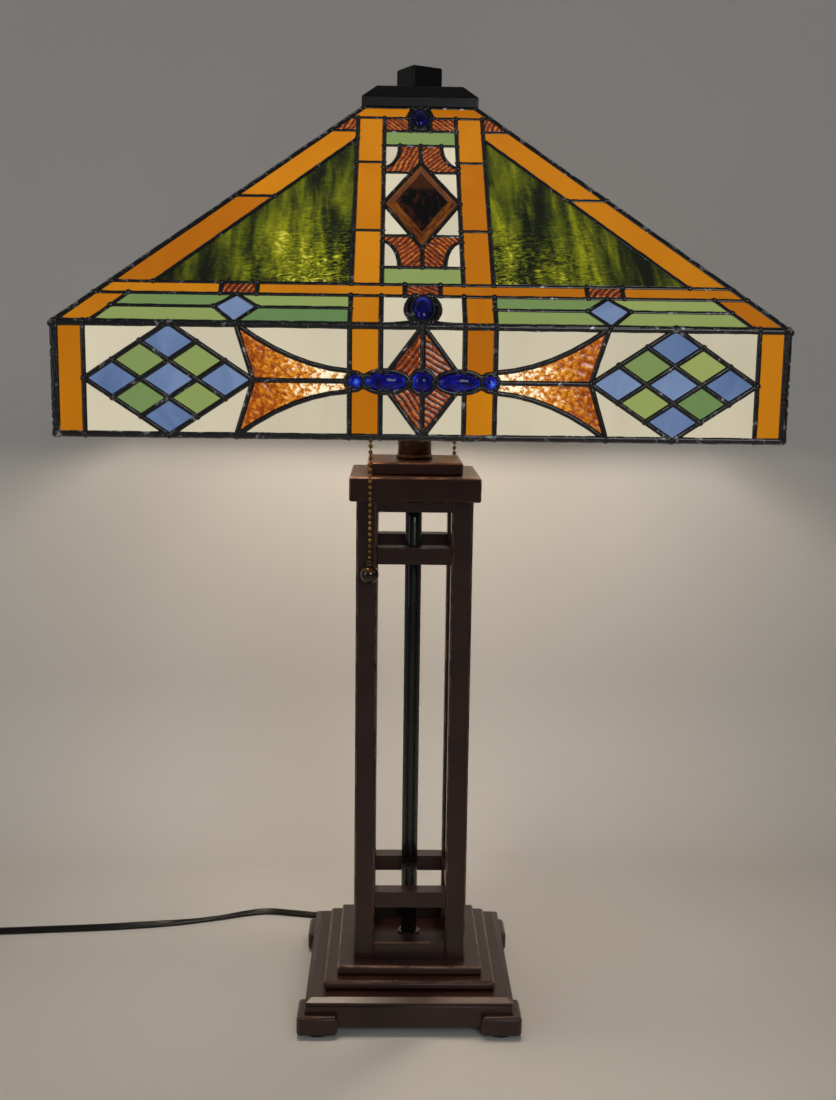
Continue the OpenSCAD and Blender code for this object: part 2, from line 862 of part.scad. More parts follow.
// Points round the globe of a bulb, from neck to tip or back
function bulb_arc(r, from, step) =
    [for (i = [0:10]) let (a = 135 - 13.5 * (from + step * i)) [r * sin(a), bulb_s + r * cos(a)]];
module riser_rod() {
    color([0.6, 0.55, 0.4])
        translate([0, 0, cluster_z + 0.4])
            cylinder(h = cap_top + 12 - cluster_z, r = riser_r);
}
module rest_washer() {
    color([0.65, 0.52, 0.25]) {
        hex_nut(6.5, cap_top - sheet - gap - 7, 5, riser_r + 0.05);
        ring(12, cap_top - sheet - gap - 2, 2, riser_r + 0.05);
    }
}

// ---- Mains cord ----
function spline(a, b, c, d, t) =
    0.5 * (2 * b + (c - a) * t + (2 * a - 5 * b + 4 * c - d) * t * t + (3 * b - a - 3 * c + d) * t * t * t);
function smooth(p, steps) = concat(
    [for (i = [0:len(p) - 2], k = [0:steps - 1])
        spline(p[max(i - 1, 0)], p[i], p[i + 1], p[min(i + 2, len(p) - 1)], k / steps)],
    [p[len(p) - 1]]);
function level(v) = unit([v.y, -v.x, 0]);
// A flat tube of eight sides along the points of a path
module flat_tube(path, half_w, half_t) {
    n = len(path);
    across = [for (i = [0:n - 1]) level(path[min(i + 1, n - 1)] - path[max(i - 1, 0)])];
    points = [for (i = [0:n - 1], k = [0:7])
        path[i] + across[i] * half_w * cos(45 * k + 22.5) + [0, 0, half_t * sin(45 * k + 22.5)]];
    sides = [for (i = [0:n - 2], k = [0:7])
        [8 * i + k, 8 * i + 8 + k, 8 * i + 8 + (k + 1) % 8, 8 * i + (k + 1) % 8]];
    ends = [[for (k = [0:7]) k], [for (k = [7:-1:0]) 8 * (n - 1) + k]];
    polyhedron(points, concat(sides, ends));
}
module cord_tube() {
    color([0.12, 0.08, 0.07]) {
        flat_tube(smooth(cord_route, 4), cord_w / 2, cord_thick / 2);
        flat_tube(smooth(cord_tail, 3), cord_w / 2, cord_thick / 2);
    }
}
module cord_coil() {
    color([0.12, 0.08, 0.07])
        translate([coil_at.x, coil_at.y, 0])
            rotate_extrude()
                translate([coil_r - 1.5 * cord_w, 0])
                    square([3 * cord_w, 3 * cord_thick + 0.2]);
}
module cord_bushing() {
    color([0.1, 0.08, 0.07])
        translate([cord_exit.x, 0, cord_exit.z])
            rotate([-90, 0, 0]) {
                translate([0, 0, tray_half - 3.8])
                    cylinder(h = 4, r = 5);
                translate([0, 0, tray_half])
                    cylinder(h = 2, r = 6.8);
                translate([0, 0, tray_half + 2])
                    cylinder(h = 18, r1 = 5, r2 = 3.4);
            }
}
module plug_body() {
    color([0.12, 0.08, 0.07])
        translate([plug_at.x, plug_at.y, plug_at.z]) {
            translate([0, -14, 0])
                eased_box(24, 28, 13.6, 3);
            rotate([-90, 0, 0])
                cylinder(h = 11, r1 = 6, r2 = 3.4);
        }
}
module plug_blades() {
    color([0.8, 0.7, 0.4])
        for (side = [-1, 1])
            translate([plug_at.x + side * 6.35, plug_at.y - 28 - 8.5, plug_at.z])
                cube([1.5, 17, 6.3], center = true);
}

base_tray();
base_feet();
felt_pads();
tier_lower();
tier_upper();
base_weight();
base_cover();
cover_screws();
column_posts();
top_rails();
middle_rails();
bottom_rails();
cap_plate_large();
cap_plate_small();
centre_tube();
tube_washer();
lamp_pipe();
pipe_nuts();
neck_ring();
neck_tube();
cluster_body();
cluster_cover();
socket_nipples();
socket_cap(-1);  // socket_cap_left
socket_cap(1);  // socket_cap_right
socket_shell(-1);  // socket_shell_left
socket_shell(1);  // socket_shell_right
socket_liners();
switch_bodies();
chain_guide(-1);  // chain_guide_left
chain_guide(1);  // chain_guide_right
bulb_base(-1);  // bulb_base_left
bulb_base(1);  // bulb_base_right
bulb_glass(-1);  // bulb_glass_left
bulb_glass(1);  // bulb_glass_right
pull_chain(-1);  // pull_chain_left
pull_chain(1);  // pull_chain_right
pull_ball(-1);  // pull_ball_left
pull_ball(1);  // pull_ball_right
riser_rod();
rest_washer();
vase_cap();
finial();
orange_glass();
mahogany_glass();
white_glass();
green_glass();
blue_glass();
streaky_glass();
amber_glass();
bevelled_jewels();
cobalt_jewels();
roof_leading();
skirt_leading();
edge_solder();
cord_bushing();
cord_tube();
cord_coil();
plug_body();
plug_blades();
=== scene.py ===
# %% [markdown]
# # A two-light table lamp with a leaded-glass shade
#
# The lamp is a square shade of some four hundred pieces of coloured glass, soldered together on an open
# four-post column. The mechanical parts come ready made as a fixed frame, in metres. This lesson gives every
# part its finish, and makes again in finer detail what a plain solid can't show: the cut glass, the lumpy
# solder lines, the jewels, the bead chains and the mains cord.

# %% Load the frame
import math
import random

import bmesh
import bpy
from mathutils import Matrix, Vector, noise


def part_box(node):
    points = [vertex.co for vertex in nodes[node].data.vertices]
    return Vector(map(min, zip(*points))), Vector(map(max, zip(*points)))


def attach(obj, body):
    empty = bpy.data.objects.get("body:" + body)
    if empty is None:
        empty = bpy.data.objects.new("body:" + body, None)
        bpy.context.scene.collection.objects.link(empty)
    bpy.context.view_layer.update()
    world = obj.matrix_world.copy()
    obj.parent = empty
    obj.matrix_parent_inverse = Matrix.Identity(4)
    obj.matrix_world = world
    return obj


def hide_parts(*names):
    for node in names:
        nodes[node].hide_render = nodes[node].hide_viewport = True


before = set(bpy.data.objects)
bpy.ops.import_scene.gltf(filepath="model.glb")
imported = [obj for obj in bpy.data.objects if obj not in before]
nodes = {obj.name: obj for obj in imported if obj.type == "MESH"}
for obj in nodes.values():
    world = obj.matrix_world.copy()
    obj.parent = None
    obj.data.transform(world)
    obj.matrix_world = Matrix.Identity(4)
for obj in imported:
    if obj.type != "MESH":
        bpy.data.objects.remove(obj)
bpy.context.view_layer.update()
scene = bpy.context.scene
scene.view_settings.view_transform = "Standard"
MM = 0.001

# %% [markdown]
# ## Camera
#
# The lamp is seen from in front and a little above, by a lens of ordinary length. A camera looks along its
# own -Z with +Y up, so its matrix is built from three directions: right, up and backwards. A small roll
# turns the right and up directions about the line of sight.

# %% Camera
CAMERA_PLACE = Vector((-0.017, -0.903, 0.481))
LOOK_DOWN = math.radians(9.18)
LOOK_RIGHT = math.radians(1.29)
ROLL = math.radians(0.77)
LENS = 41.6

forward = Vector((math.sin(LOOK_RIGHT) * math.cos(LOOK_DOWN), math.cos(LOOK_RIGHT) * math.cos(LOOK_DOWN),
                  -math.sin(LOOK_DOWN)))
level_right = forward.cross(Vector((0, 0, 1))).normalized()
level_up = level_right.cross(forward)
camera_right = level_right * math.cos(ROLL) + level_up * math.sin(ROLL)
camera_up = level_up * math.cos(ROLL) - level_right * math.sin(ROLL)
camera = bpy.data.objects.new("camera", bpy.data.cameras.new("camera"))
camera.data.lens = LENS
camera.matrix_world = (Matrix.Translation(CAMERA_PLACE)
                       @ Matrix((camera_right, camera_up, -forward)).transposed().to_4x4())
scene.collection.objects.link(camera)
scene.camera = camera
print("camera at", tuple(CAMERA_PLACE), "lens", LENS)


# %% [markdown]
# ## Meshes from paths and profiles
#
# Most made pieces are one of two things: a profile swept along a path, or a profile turned round an axis.
# Both come down to rings of points with quads between them, so one helper joins rings and closes the ends.

# %% Rings into pieces
def link_piece(name, mesh):
    piece = bpy.data.objects.new(name, mesh)
    scene.collection.objects.link(piece)
    return piece


def rings_to_mesh(name, rings, smooth=True):
    """A closed mesh through equal rings of points, with its ends filled and its faces outwards."""
    bm = bmesh.new()
    made = [[bm.verts.new(p) for p in ring] for ring in rings]
    count = len(rings[0])
    for low, high in zip(made, made[1:]):
        for k in range(count):
            n = (k + 1) % count
            bm.faces.new((low[k], low[n], high[n], high[k]))
    bm.faces.new(made[0][::-1])
    bm.faces.new(made[-1])
    bmesh.ops.remove_doubles(bm, verts=bm.verts, dist=1e-6)
    bmesh.ops.recalc_face_normals(bm, faces=bm.faces)
    for face in bm.faces:
        face.smooth = smooth and len(face.verts) <= 4
    mesh = bpy.data.meshes.new(name)
    bm.to_mesh(mesh)
    bm.free()
    return mesh


def face_outwards(mesh, smooth, merge=0.0):
    """Turns a mesh's faces outwards, after joining any points that lie within merge of each other."""
    bm = bmesh.new()
    bm.from_mesh(mesh)
    if merge:
        bmesh.ops.remove_doubles(bm, verts=bm.verts, dist=merge)
    bmesh.ops.recalc_face_normals(bm, faces=bm.faces)
    for face in bm.faces:
        face.smooth = smooth
    bm.to_mesh(mesh)
    bm.free()


def turned(name, profile, steps=32, place=Matrix.Identity(4)):
    """A piece turned round local Z, from (radius, height) pairs in millimetres."""
    rings = [[place @ (Vector((r * math.cos(2 * math.pi * k / steps), r * math.sin(2 * math.pi * k / steps), z))
                       * MM) for k in range(steps)] for r, z in profile]
    return link_piece(name, rings_to_mesh(name, rings))


def swept(name, path, profile, roll=lambda p: 0.0, rest=0.0):
    """A piece along a path: profile is (across, up) pairs in mm, rolled by an angle that depends on the place.
    A rolled flat profile is lifted, so that its lowest point stays rest mm below the path."""
    rings = []
    for i, p in enumerate(path):
        along = (path[min(i + 1, len(path) - 1)] - path[max(i - 1, 0)]).normalized()
        across = Vector((along.y, -along.x, 0)).normalized()
        up = across.cross(along)
        c, s = math.cos(roll(p)), math.sin(roll(p))
        turned_profile = [(x * c - y * s, x * s + y * c) for x, y in profile]
        lift = max(-rest - min(y for _, y in turned_profile), 0) if rest else 0
        rings.append([p + across * x * MM + up * (y + lift) * MM for x, y in turned_profile])
    return link_piece(name, rings_to_mesh(name, rings))


# %% [markdown]
# ## The mains cord
#
# A table lamp has about 1.8 m of flat two-core cord. It leaves the back of the base, drops to the table and
# wanders off to the left. The spare length is wound in a neat round coil in three layers, with the plug
# beside it. The free stretch is a chosen list of points, smoothed by a spline. The coil is worked out turn
# by turn: each turn keeps its radius and height, and slips over to the next ones near its end.

# %% Cord route
CORD_WIDTH, CORD_THICK = 5.6, 3.0
FREE_ROUTE = [(-34, 93.3, 13), (-34.6, 98, 12.6), (-37.5, 104.5, 11), (-43.5, 110.5, 8.4),
              (-52, 114.3, 5.6), (-62, 115, 3.2), (-76, 113.5, 1.8), (-95, 116.5, 1.6), (-115, 120, 1.6),
              (-135, 117, 1.6), (-156, 109.5, 1.6), (-180, 102, 1.6), (-206, 95.5, 1.6),
              (-235, 90.5, 1.6), (-264, 87, 1.6), (-292, 84.5, 1.6), (-320, 82, 1.6), (-348, 79.8, 1.6)]
TAIL_ROUTE = [(-408.9, 36, 7.5), (-409, 28.5, 7.2), (-409, 21, 6.8)]
COIL_MIDDLE = Vector((-372, 42.4, 0))
COIL_MEAN = 31.0
LAYER_STEP = 3.0
# Ring of each turn (1 outer, 0 middle, -1 inner), its layer, and where in the turn it slips to the next
TURNS = [(1, 0, 0.8), (0, 0, 0.8), (-1, 0, 0.8), (-1, 1, 0.8), (0, 1, 0.8), (1, 1, 0.8), (0, 2, 0.5),
         (1, 2, 0.8)]
SLIP = 0.2
STEPS_PER_TURN = 40
LAST_TURN = 0.25
# Height of the cord's middle where it lies flat on the table
LYING_Z = 1.6


def eased(t):
    """From 0 to 1 with a soft start and stop, and held there."""
    t = min(max(t, 0), 1)
    return t * t * (3 - 2 * t)


def spline(points, steps):
    """Points along a smooth curve through points."""
    out = []
    for i in range(len(points) - 1):
        a, b, c, d = (points[min(max(k, 0), len(points) - 1)] for k in (i - 1, i, i + 1, i + 2))
        for s in range(steps):
            t = s / steps
            out.append(0.5 * (2 * b + (c - a) * t + (2 * a - 5 * b + 4 * c - d) * t * t
                              + (3 * b - a - 3 * c + d) * t ** 3))
    return out + [points[-1]]


def coil_points():
    out = []
    for turn in range(len(TURNS)):
        ring, layer, slip = TURNS[turn]
        next_ring, next_layer, _ = TURNS[min(turn + 1, len(TURNS) - 1)]
        last = turn == len(TURNS) - 1
        for step in range(int(STEPS_PER_TURN * (LAST_TURN if last else 1)) + (1 if last else 0)):
            part = step / STEPS_PER_TURN
            t = eased((part - slip) / SLIP)
            radius = COIL_MEAN + CORD_WIDTH * (ring + (next_ring - ring) * t)
            height = LYING_Z + LAYER_STEP * (layer + (next_layer - layer) * t)
            angle = math.pi / 2 + 2 * math.pi * (turn + part)
            out.append(COIL_MIDDLE + Vector((radius * math.cos(angle), radius * math.sin(angle), height)))
    return out


free = spline([Vector(p) for p in FREE_ROUTE] + [coil_points()[0]], 4)
coil = coil_points()
tail = spline([coil[-1]] + [Vector(p) for p in TAIL_ROUTE], 3)
cord_path = [p * MM for p in free[:-1] + coil + tail[1:]]
cord_measured = sum((b - a).length for a, b in zip(cord_path, cord_path[1:]))
print("cord:", len(cord_path), "points,", round(cord_measured, 3), "m")

# %% Cord, strain relief and plug
# Two round cores joined by a thin web, drawn as one outline
LOBE = 1.48
LOBE_OUT = CORD_WIDTH / 2 - LOBE
lobe_angles = [math.radians(a) for a in (-130, -90, -45, 0, 45, 90, 130)]
right_lobe = [(LOBE_OUT + LOBE * math.cos(a), LOBE * math.sin(a)) for a in lobe_angles]
cord_outline = right_lobe + [(-x, -y) for x, y in right_lobe]
# Each roll of the cord: its angle, and the distances to the left where it starts, is full, ends and is gone
ROLLS = ((38, 60, 90, 115, 160), (66, 165, 235, 330, 368))


def cord_roll(p):
    """The flat cord turns on its side for part of its way, a little near the base and more further off."""
    left = -p.x / MM
    return math.radians(sum(angle * eased((left - start) / (full - start))
                            * (1 - eased((left - end) / (gone - end)))
                            for angle, start, full, end, gone in ROLLS))


flex = swept("mains_cord", cord_path, cord_outline, cord_roll, CORD_THICK / 2)

EXIT_X, EXIT_Z = FREE_ROUTE[0][0], FREE_ROUTE[0][2]
bush_low, bush_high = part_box("cord_bushing")
bush_root, bush_tip = bush_low.y / MM, bush_high.y / MM
tray_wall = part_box("base_tray")[1].y / MM
bush_profile = [(0, bush_root), (5, bush_root), (5, tray_wall + 0.05), (6.7, tray_wall + 0.05),
                (6.8, tray_wall + 0.6), (6.4, tray_wall + 2)]
# Flexing ribs along the taper
RIBS, RIB_PITCH, RIB_TAPER = 5, 3.3, 0.32
for k in range(RIBS):
    start = tray_wall + 2.6 + RIB_PITCH * k
    radius = 5.0 - RIB_TAPER * k
    bush_profile += [(radius - 0.8, start), (radius - 0.7, start + 1.1), (radius, start + 1.4),
                     (radius - 0.1, start + 2.7)]
bush_profile += [(3.4, bush_tip - 0.4), (3.2, bush_tip), (0, bush_tip)]
along_y = Matrix(((1, 0, 0, EXIT_X * MM), (0, 0, 1, 0), (0, -1, 0, EXIT_Z * MM), (0, 0, 0, 1)))
relief = turned("strain_relief", bush_profile, 28, along_y)


def loft(name, sections, steps=32, power=4.0):
    """A piece through rounded-rectangle sections (y, middle x, middle z, half width, half height) in mm."""
    rings = []
    for y, x, z, half_w, half_h in sections:
        ring = []
        for k in range(steps):
            c, s = math.cos(2 * math.pi * k / steps), math.sin(2 * math.pi * k / steps)
            ring.append(Vector((x + half_w * math.copysign(abs(c) ** (2 / power), c), y,
                                z + half_h * math.copysign(abs(s) ** (2 / power), s))) * MM)
        rings.append(ring)
    return link_piece(name, rings_to_mesh(name, rings))


plug_low, plug_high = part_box("plug_body")
plug_x, plug_z = (plug_low.x + plug_high.x) / 2 / MM, (plug_low.z + plug_high.z) / 2 / MM
plug_front, plug_back = plug_low.y / MM, plug_high.y / MM
plug_sections = [(plug_front, 11, 5.9), (plug_front + 1, 11.9, 6.6), (plug_front + 7, 12, 6.7)]
# Grooves for the fingers along the body
GRIPS, GRIP_PITCH, GRIP_TAPER = 4, 3.6, 0.7
for k in range(GRIPS):
    ridge, drawn_in = plug_front + 9 + GRIP_PITCH * k, GRIP_TAPER * k
    plug_sections += [(ridge, 11.6 - drawn_in, 6.6), (ridge + 0.5, 10.8 - drawn_in, 6.0),
                      (ridge + 1.6, 10.8 - drawn_in, 6.0), (ridge + 2.1, 11.4 - drawn_in, 6.4)]
plug_sections += [(plug_front + 25.5, 8.2, 5.9), (plug_front + 28, 6.4, 5.4), (plug_back - 5, 4.6, 4.2),
                  (plug_back, 3.6, 3.2)]
plug = loft("moulded_plug", [(y, plug_x, plug_z, w, h) for y, w, h in plug_sections])
print("plug", len(plug.data.polygons), "faces; strain relief", len(relief.data.polygons), "faces")

for piece, stands_for, finish in ((flex, ("cord_tube", "cord_coil"), "brown_cord"),
                                  (relief, ("cord_bushing",), "brown_cord"),
                                  (plug, ("plug_body",), "brown_plug")):
    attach(piece, "stand")
    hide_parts(*stands_for)

# %% [markdown]
# ## Table, backdrop and light
#
# The lamp stands on a pale table in front of a pale sheet, lit by two large soft lights from the front, and
# by its own two bulbs. Both are seen from their front faces only: their backs let the camera through, so
# the lamp can be looked at from behind and from below. Each bulb gets a small warm lamp at its middle, and
# its glass casts no shadow.

# %% Node helpers
def feed(tree, node, inputs):
    """Sets a node's inputs to values, or links them to other nodes' outputs."""
    for key, value in inputs.items():
        if isinstance(value, bpy.types.NodeSocket):
            tree.links.new(value, node.inputs[key])
        else:
            node.inputs[key].default_value = value


def add(tree, kind, inputs=None, **settings):
    """A node with its settings and its inputs."""
    node = tree.nodes.new(kind)
    for key, value in settings.items():
        setattr(node, key, value)
    feed(tree, node, inputs or {})
    return node


def noise_node(tree, place, scale, detail=2.0, distortion=0.0, roughness=0.5):
    return add(tree, "ShaderNodeTexNoise", {"Vector": place, "Scale": scale, "Detail": detail,
                                            "Distortion": distortion, "Roughness": roughness})


def vectors(tree, operation, a, b):
    return add(tree, "ShaderNodeVectorMath", {0: a, 1: b}, operation=operation).outputs[0]


def scaled(tree, vector, share):
    return add(tree, "ShaderNodeVectorMath", {0: vector, "Scale": share}, operation="SCALE").outputs[0]


def maths(tree, operation, a, b=0.0, clamp=False):
    return add(tree, "ShaderNodeMath", {0: a, 1: b}, operation=operation, use_clamp=clamp).outputs[0]


def mix_colour(tree, factor, a, b):
    return add(tree, "ShaderNodeMix", {0: factor, 6: a, 7: b}, data_type="RGBA").outputs[2]


def spread(tree, value, low, high, to_low=0.0, to_high=1.0):
    """value from the range low to high, laid on to_low to to_high and held there."""
    node = add(tree, "ShaderNodeMapRange", {"Value": value, "From Min": low, "From Max": high,
                                            "To Min": to_low, "To Max": to_high})
    return node.outputs["Result"]


def paint(red, green, blue):
    """A colour as a painter names it, from 0 to 255, as the light values that shaders use."""
    def light(v):
        v /= 255
        return v / 12.92 if v <= 0.04045 else ((v + 0.055) / 1.055) ** 2.4
    return (light(red), light(green), light(blue), 1.0)


def new_finish(name, **constants):
    """A material with its surface shader: (material, tree, shader)."""
    material = bpy.data.materials.new(name)
    material.use_nodes = True
    tree = material.node_tree
    shader = tree.nodes["Principled BSDF"]
    for key, value in constants.items():
        shader.inputs[key.replace("_", " ").title().replace("Ior", "IOR")].default_value = value
    return material, tree, shader


def object_place(tree):
    return add(tree, "ShaderNodeTexCoord").outputs["Object"]


def ramp_colour(tree, level, stops):
    """The colour of a ramp through (position, colour) stops."""
    ramp = add(tree, "ShaderNodeValToRGB", {"Fac": level})
    elements = ramp.color_ramp.elements
    elements[0].position, elements[0].color = stops[0]
    elements[1].position, elements[1].color = stops[-1]
    for position, colour in stops[1:-1]:
        elements.new(position).color = colour
    return ramp.outputs["Color"]


def bump(tree, shader, height, distance, strength=1.0):
    node = add(tree, "ShaderNodeBump", {"Height": height, "Distance": distance, "Strength": strength})
    tree.links.new(node.outputs["Normal"], shader.inputs["Normal"])


# %% Table and backdrop
def stage_finish(name, colour):
    """A pale sheet that the camera sees through from behind."""
    material, tree, shader = new_finish(name, roughness=0.75, specular_ior_level=0.25)
    cloud = noise_node(tree, object_place(tree), 2.2, 3.0)
    shade = mix_colour(tree, spread(tree, cloud.outputs["Fac"], 0.3, 0.7), colour,
                       tuple(v * 0.93 for v in colour[:3]) + (1,))
    tree.links.new(shade, shader.inputs["Base Color"])
    clear = add(tree, "ShaderNodeBsdfTransparent")
    back = add(tree, "ShaderNodeNewGeometry").outputs["Backfacing"]
    both = add(tree, "ShaderNodeMixShader", {0: back, 1: shader.outputs[0], 2: clear.outputs[0]})
    tree.links.new(both.outputs[0], tree.nodes["Material Output"].inputs["Surface"])
    return material


SHEET_TONE = (0.585, 0.575, 0.56, 1)
TABLE_HALF = 4.0
BACKDROP_Y = 0.36
BACKDROP_SIDE = 1.6
BACKDROP_TOP = 1.5
SWEEP = 0.14
SWEEP_STEPS = 16
# The backdrop's foot lies just clear of the table
FOOT_LIFT = 0.0004
table_mesh = bpy.data.meshes.new("table")
table_mesh.from_pydata([(x, y, 0) for x, y in ((-TABLE_HALF, -TABLE_HALF), (TABLE_HALF, -TABLE_HALF),
                                               (TABLE_HALF, TABLE_HALF), (-TABLE_HALF, TABLE_HALF))],
                       [], [(0, 1, 2, 3)])
table = link_piece("table", table_mesh)
table.data.materials.append(stage_finish("table_top", SHEET_TONE))
outline = [(BACKDROP_Y - SWEEP + SWEEP * math.sin(a), SWEEP - SWEEP * math.cos(a) + FOOT_LIFT)
           for a in (math.pi / 2 * k / SWEEP_STEPS for k in range(SWEEP_STEPS + 1))]
outline.append((BACKDROP_Y, BACKDROP_TOP))
backdrop_mesh = bpy.data.meshes.new("backdrop")
backdrop_points = [(x, y, z) for y, z in outline for x in (-BACKDROP_SIDE, BACKDROP_SIDE)]
backdrop_mesh.from_pydata(backdrop_points, [],
                          [(2 * i, 2 * i + 1, 2 * i + 3, 2 * i + 2) for i in range(len(outline) - 1)])
for face in backdrop_mesh.polygons:
    face.use_smooth = True
backdrop = link_piece("backdrop", backdrop_mesh)
backdrop.data.materials.append(stage_finish("backdrop_sheet", SHEET_TONE))
print("stage: table", 2 * TABLE_HALF, "m, backdrop", BACKDROP_Y, "m behind the lamp")

# %% Studio light and the two bulbs
def soft_light(name, place, aim, size, power, colour):
    light = bpy.data.lights.new(name, "AREA")
    light.shape = "RECTANGLE"
    light.size, light.size_y = size
    light.energy = power
    light.color = colour
    lamp = bpy.data.objects.new(name, light)
    lamp.location = place
    lamp.rotation_euler = (Vector(aim) - Vector(place)).to_track_quat("-Z", "Y").to_euler()
    scene.collection.objects.link(lamp)
    return lamp


soft_light("key_light", (0.5, -1.8, 1.15), (0, 0, 0.3), (0.8, 0.8), 8.5, (1.0, 0.99, 0.98))
soft_light("fill_light", (-1.7, -1.0, 0.9), (0, 0, 0.35), (0.7, 1.4), 4.2, (0.93, 0.96, 1.0))
world = bpy.data.worlds.new("room")
world.use_nodes = True
world.node_tree.nodes["Background"].inputs["Color"].default_value = (0.80, 0.83, 0.88, 1)
world.node_tree.nodes["Background"].inputs["Strength"].default_value = 0.12
scene.world = world

BULB_POWER = 3.3
bulb_middles = []
for side in ("left", "right"):
    low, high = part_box("bulb_glass_" + side)
    middle = (low + high) / 2
    bulb_middles.append(middle)
    light = bpy.data.lights.new("bulb_light_" + side, "POINT")
    light.energy = BULB_POWER
    light.color = (1.0, 0.87, 0.70)
    light.shadow_soft_size = 0.02
    lamp = bpy.data.objects.new("bulb_light_" + side, light)
    lamp.location = middle
    scene.collection.objects.link(lamp)
print("bulbs at", [tuple(round(v, 3) for v in m) for m in bulb_middles])


# %% [markdown]
# ## The cut glass
#
# Every piece of the shade was scored and broken from a larger sheet, so neighbours differ a little in tone
# and their streaks run in different directions. The frame holds each piece as a plain prism. Its outer
# outline is read from the frame and cut again into a new mesh, which carries three attributes: "sheet",
# where the piece lay on its sheet, "tone", how light the sheet was there, and "relief", the height of the
# ripples. Smooth kinds stay flat, while ripple and granite glass is cut into a fine grid and pushed in and
# out for real.

# %% Face directions of the shade
def merged_copy(node):
    """A bmesh of a node's own surface, with its loose triangles joined and flat regions made one face."""
    bm = bmesh.new()
    bm.from_mesh(nodes[node].data)
    bmesh.ops.remove_doubles(bm, verts=bm.verts, dist=2e-6)
    bmesh.ops.dissolve_limit(bm, angle_limit=0.01, verts=bm.verts, edges=bm.edges)
    return bm


GLASS = ("orange", "mahogany", "white", "green", "blue", "streaky", "amber")
glass_meshes = {kind: merged_copy(kind + "_glass") for kind in GLASS}
panel = max((f for f in glass_meshes["streaky"].faces if f.normal.y < -0.3 and f.normal.z > 0.3),
            key=lambda f: f.calc_area())
roof_normal = Vector((0, panel.normal.y, panel.normal.z)).normalized()
skirt_normal = Vector((0, -1, 0))
roof_reach = panel.calc_center_median().dot(roof_normal)
skirt_reach = max(v.co.dot(skirt_normal) for v in glass_meshes["amber"].verts)
GLASS_THICK = 3.0
SET_BACK = 0.2


class Side:
    """One flat side of the shade: its outward normal, and directions across and up it."""

    def __init__(self, normal, reach, quarter):
        turn = Matrix.Rotation(quarter * math.pi / 2, 3, "Z")
        self.normal = turn @ normal
        self.reach = reach
        self.across = Vector((0, 0, 1)).cross(self.normal).normalized()
        self.up = self.normal.cross(self.across)
        rows = Matrix((self.across, self.up, self.normal))
        self.place = Matrix.Translation(self.normal * reach) @ rows.transposed().to_4x4()

    def holds(self, face):
        return (face.normal.dot(self.normal) > 0.9999
                and abs(face.calc_center_median().dot(self.normal) - self.reach) < 0.0002)


roof_sides = [Side(roof_normal, roof_reach, q) for q in range(4)]
skirt_sides = [Side(skirt_normal, skirt_reach, q) for q in range(4)]
print("roof pitch", round(math.degrees(math.acos(roof_normal.z)), 2), "degrees")

# %% Cut the pieces
# A piece comes from anywhere within this of its sheet's middle
SHEET_REACH = 400
# Grid in mm (0 leaves a piece flat), ripple height in mm, and how far the grain may turn on a piece
CUTS = {"orange": (0, 0, 0.25), "mahogany": (0.8, 0.3, 0), "white": (0, 0, 0.2), "green": (0, 0, 0.15),
        "blue": (0, 0, 0.6), "streaky": (2.2, 0.16, 0.08), "amber": (0.9, 0.45, 0.3)}
RIDGE_PITCH = 2.9
RIPPLE_TURNS = (math.radians(38), math.radians(-38), math.radians(20), math.radians(-60))


def ripple_height(kind, p):
    """Height from -1 to 1 of the sheet's own texture at a place in mm on the sheet."""
    if kind == "mahogany":
        warp = 2.2 * noise.noise(Vector((p.x * 0.11, p.y * 0.11, 3.1)))
        ridge = math.sin(2 * math.pi * p.x / RIDGE_PITCH + warp)
        return 0.75 * ridge + 0.5 * noise.noise(Vector((p.x * 0.4, p.y * 0.2, 0.7)))
    if kind == "amber":
        return (noise.noise(Vector((p.x * 0.42, p.y * 0.62, 5.3))) * 1.1
                + noise.noise(Vector((p.x * 1.1, p.y * 1.3, 9.1))) * 0.5)
    return noise.noise(Vector((p.x * 0.16, p.y * 0.035, 1.9))) * 1.4


def cut_face(points, side, grid):
    bm = bmesh.new()
    bm.faces.new([bm.verts.new(p) for p in points])
    step = grid * MM
    for axis in (side.across, side.up) if grid else ():
        reaches = [p.dot(axis) for p in points]
        level = math.ceil(min(reaches) / step) * step
        while level < max(reaches) - 1e-5:
            bmesh.ops.bisect_plane(bm, geom=bm.verts[:] + bm.edges[:] + bm.faces[:], dist=1e-6,
                                   plane_co=axis * level, plane_no=axis)
            level += step
    return bm


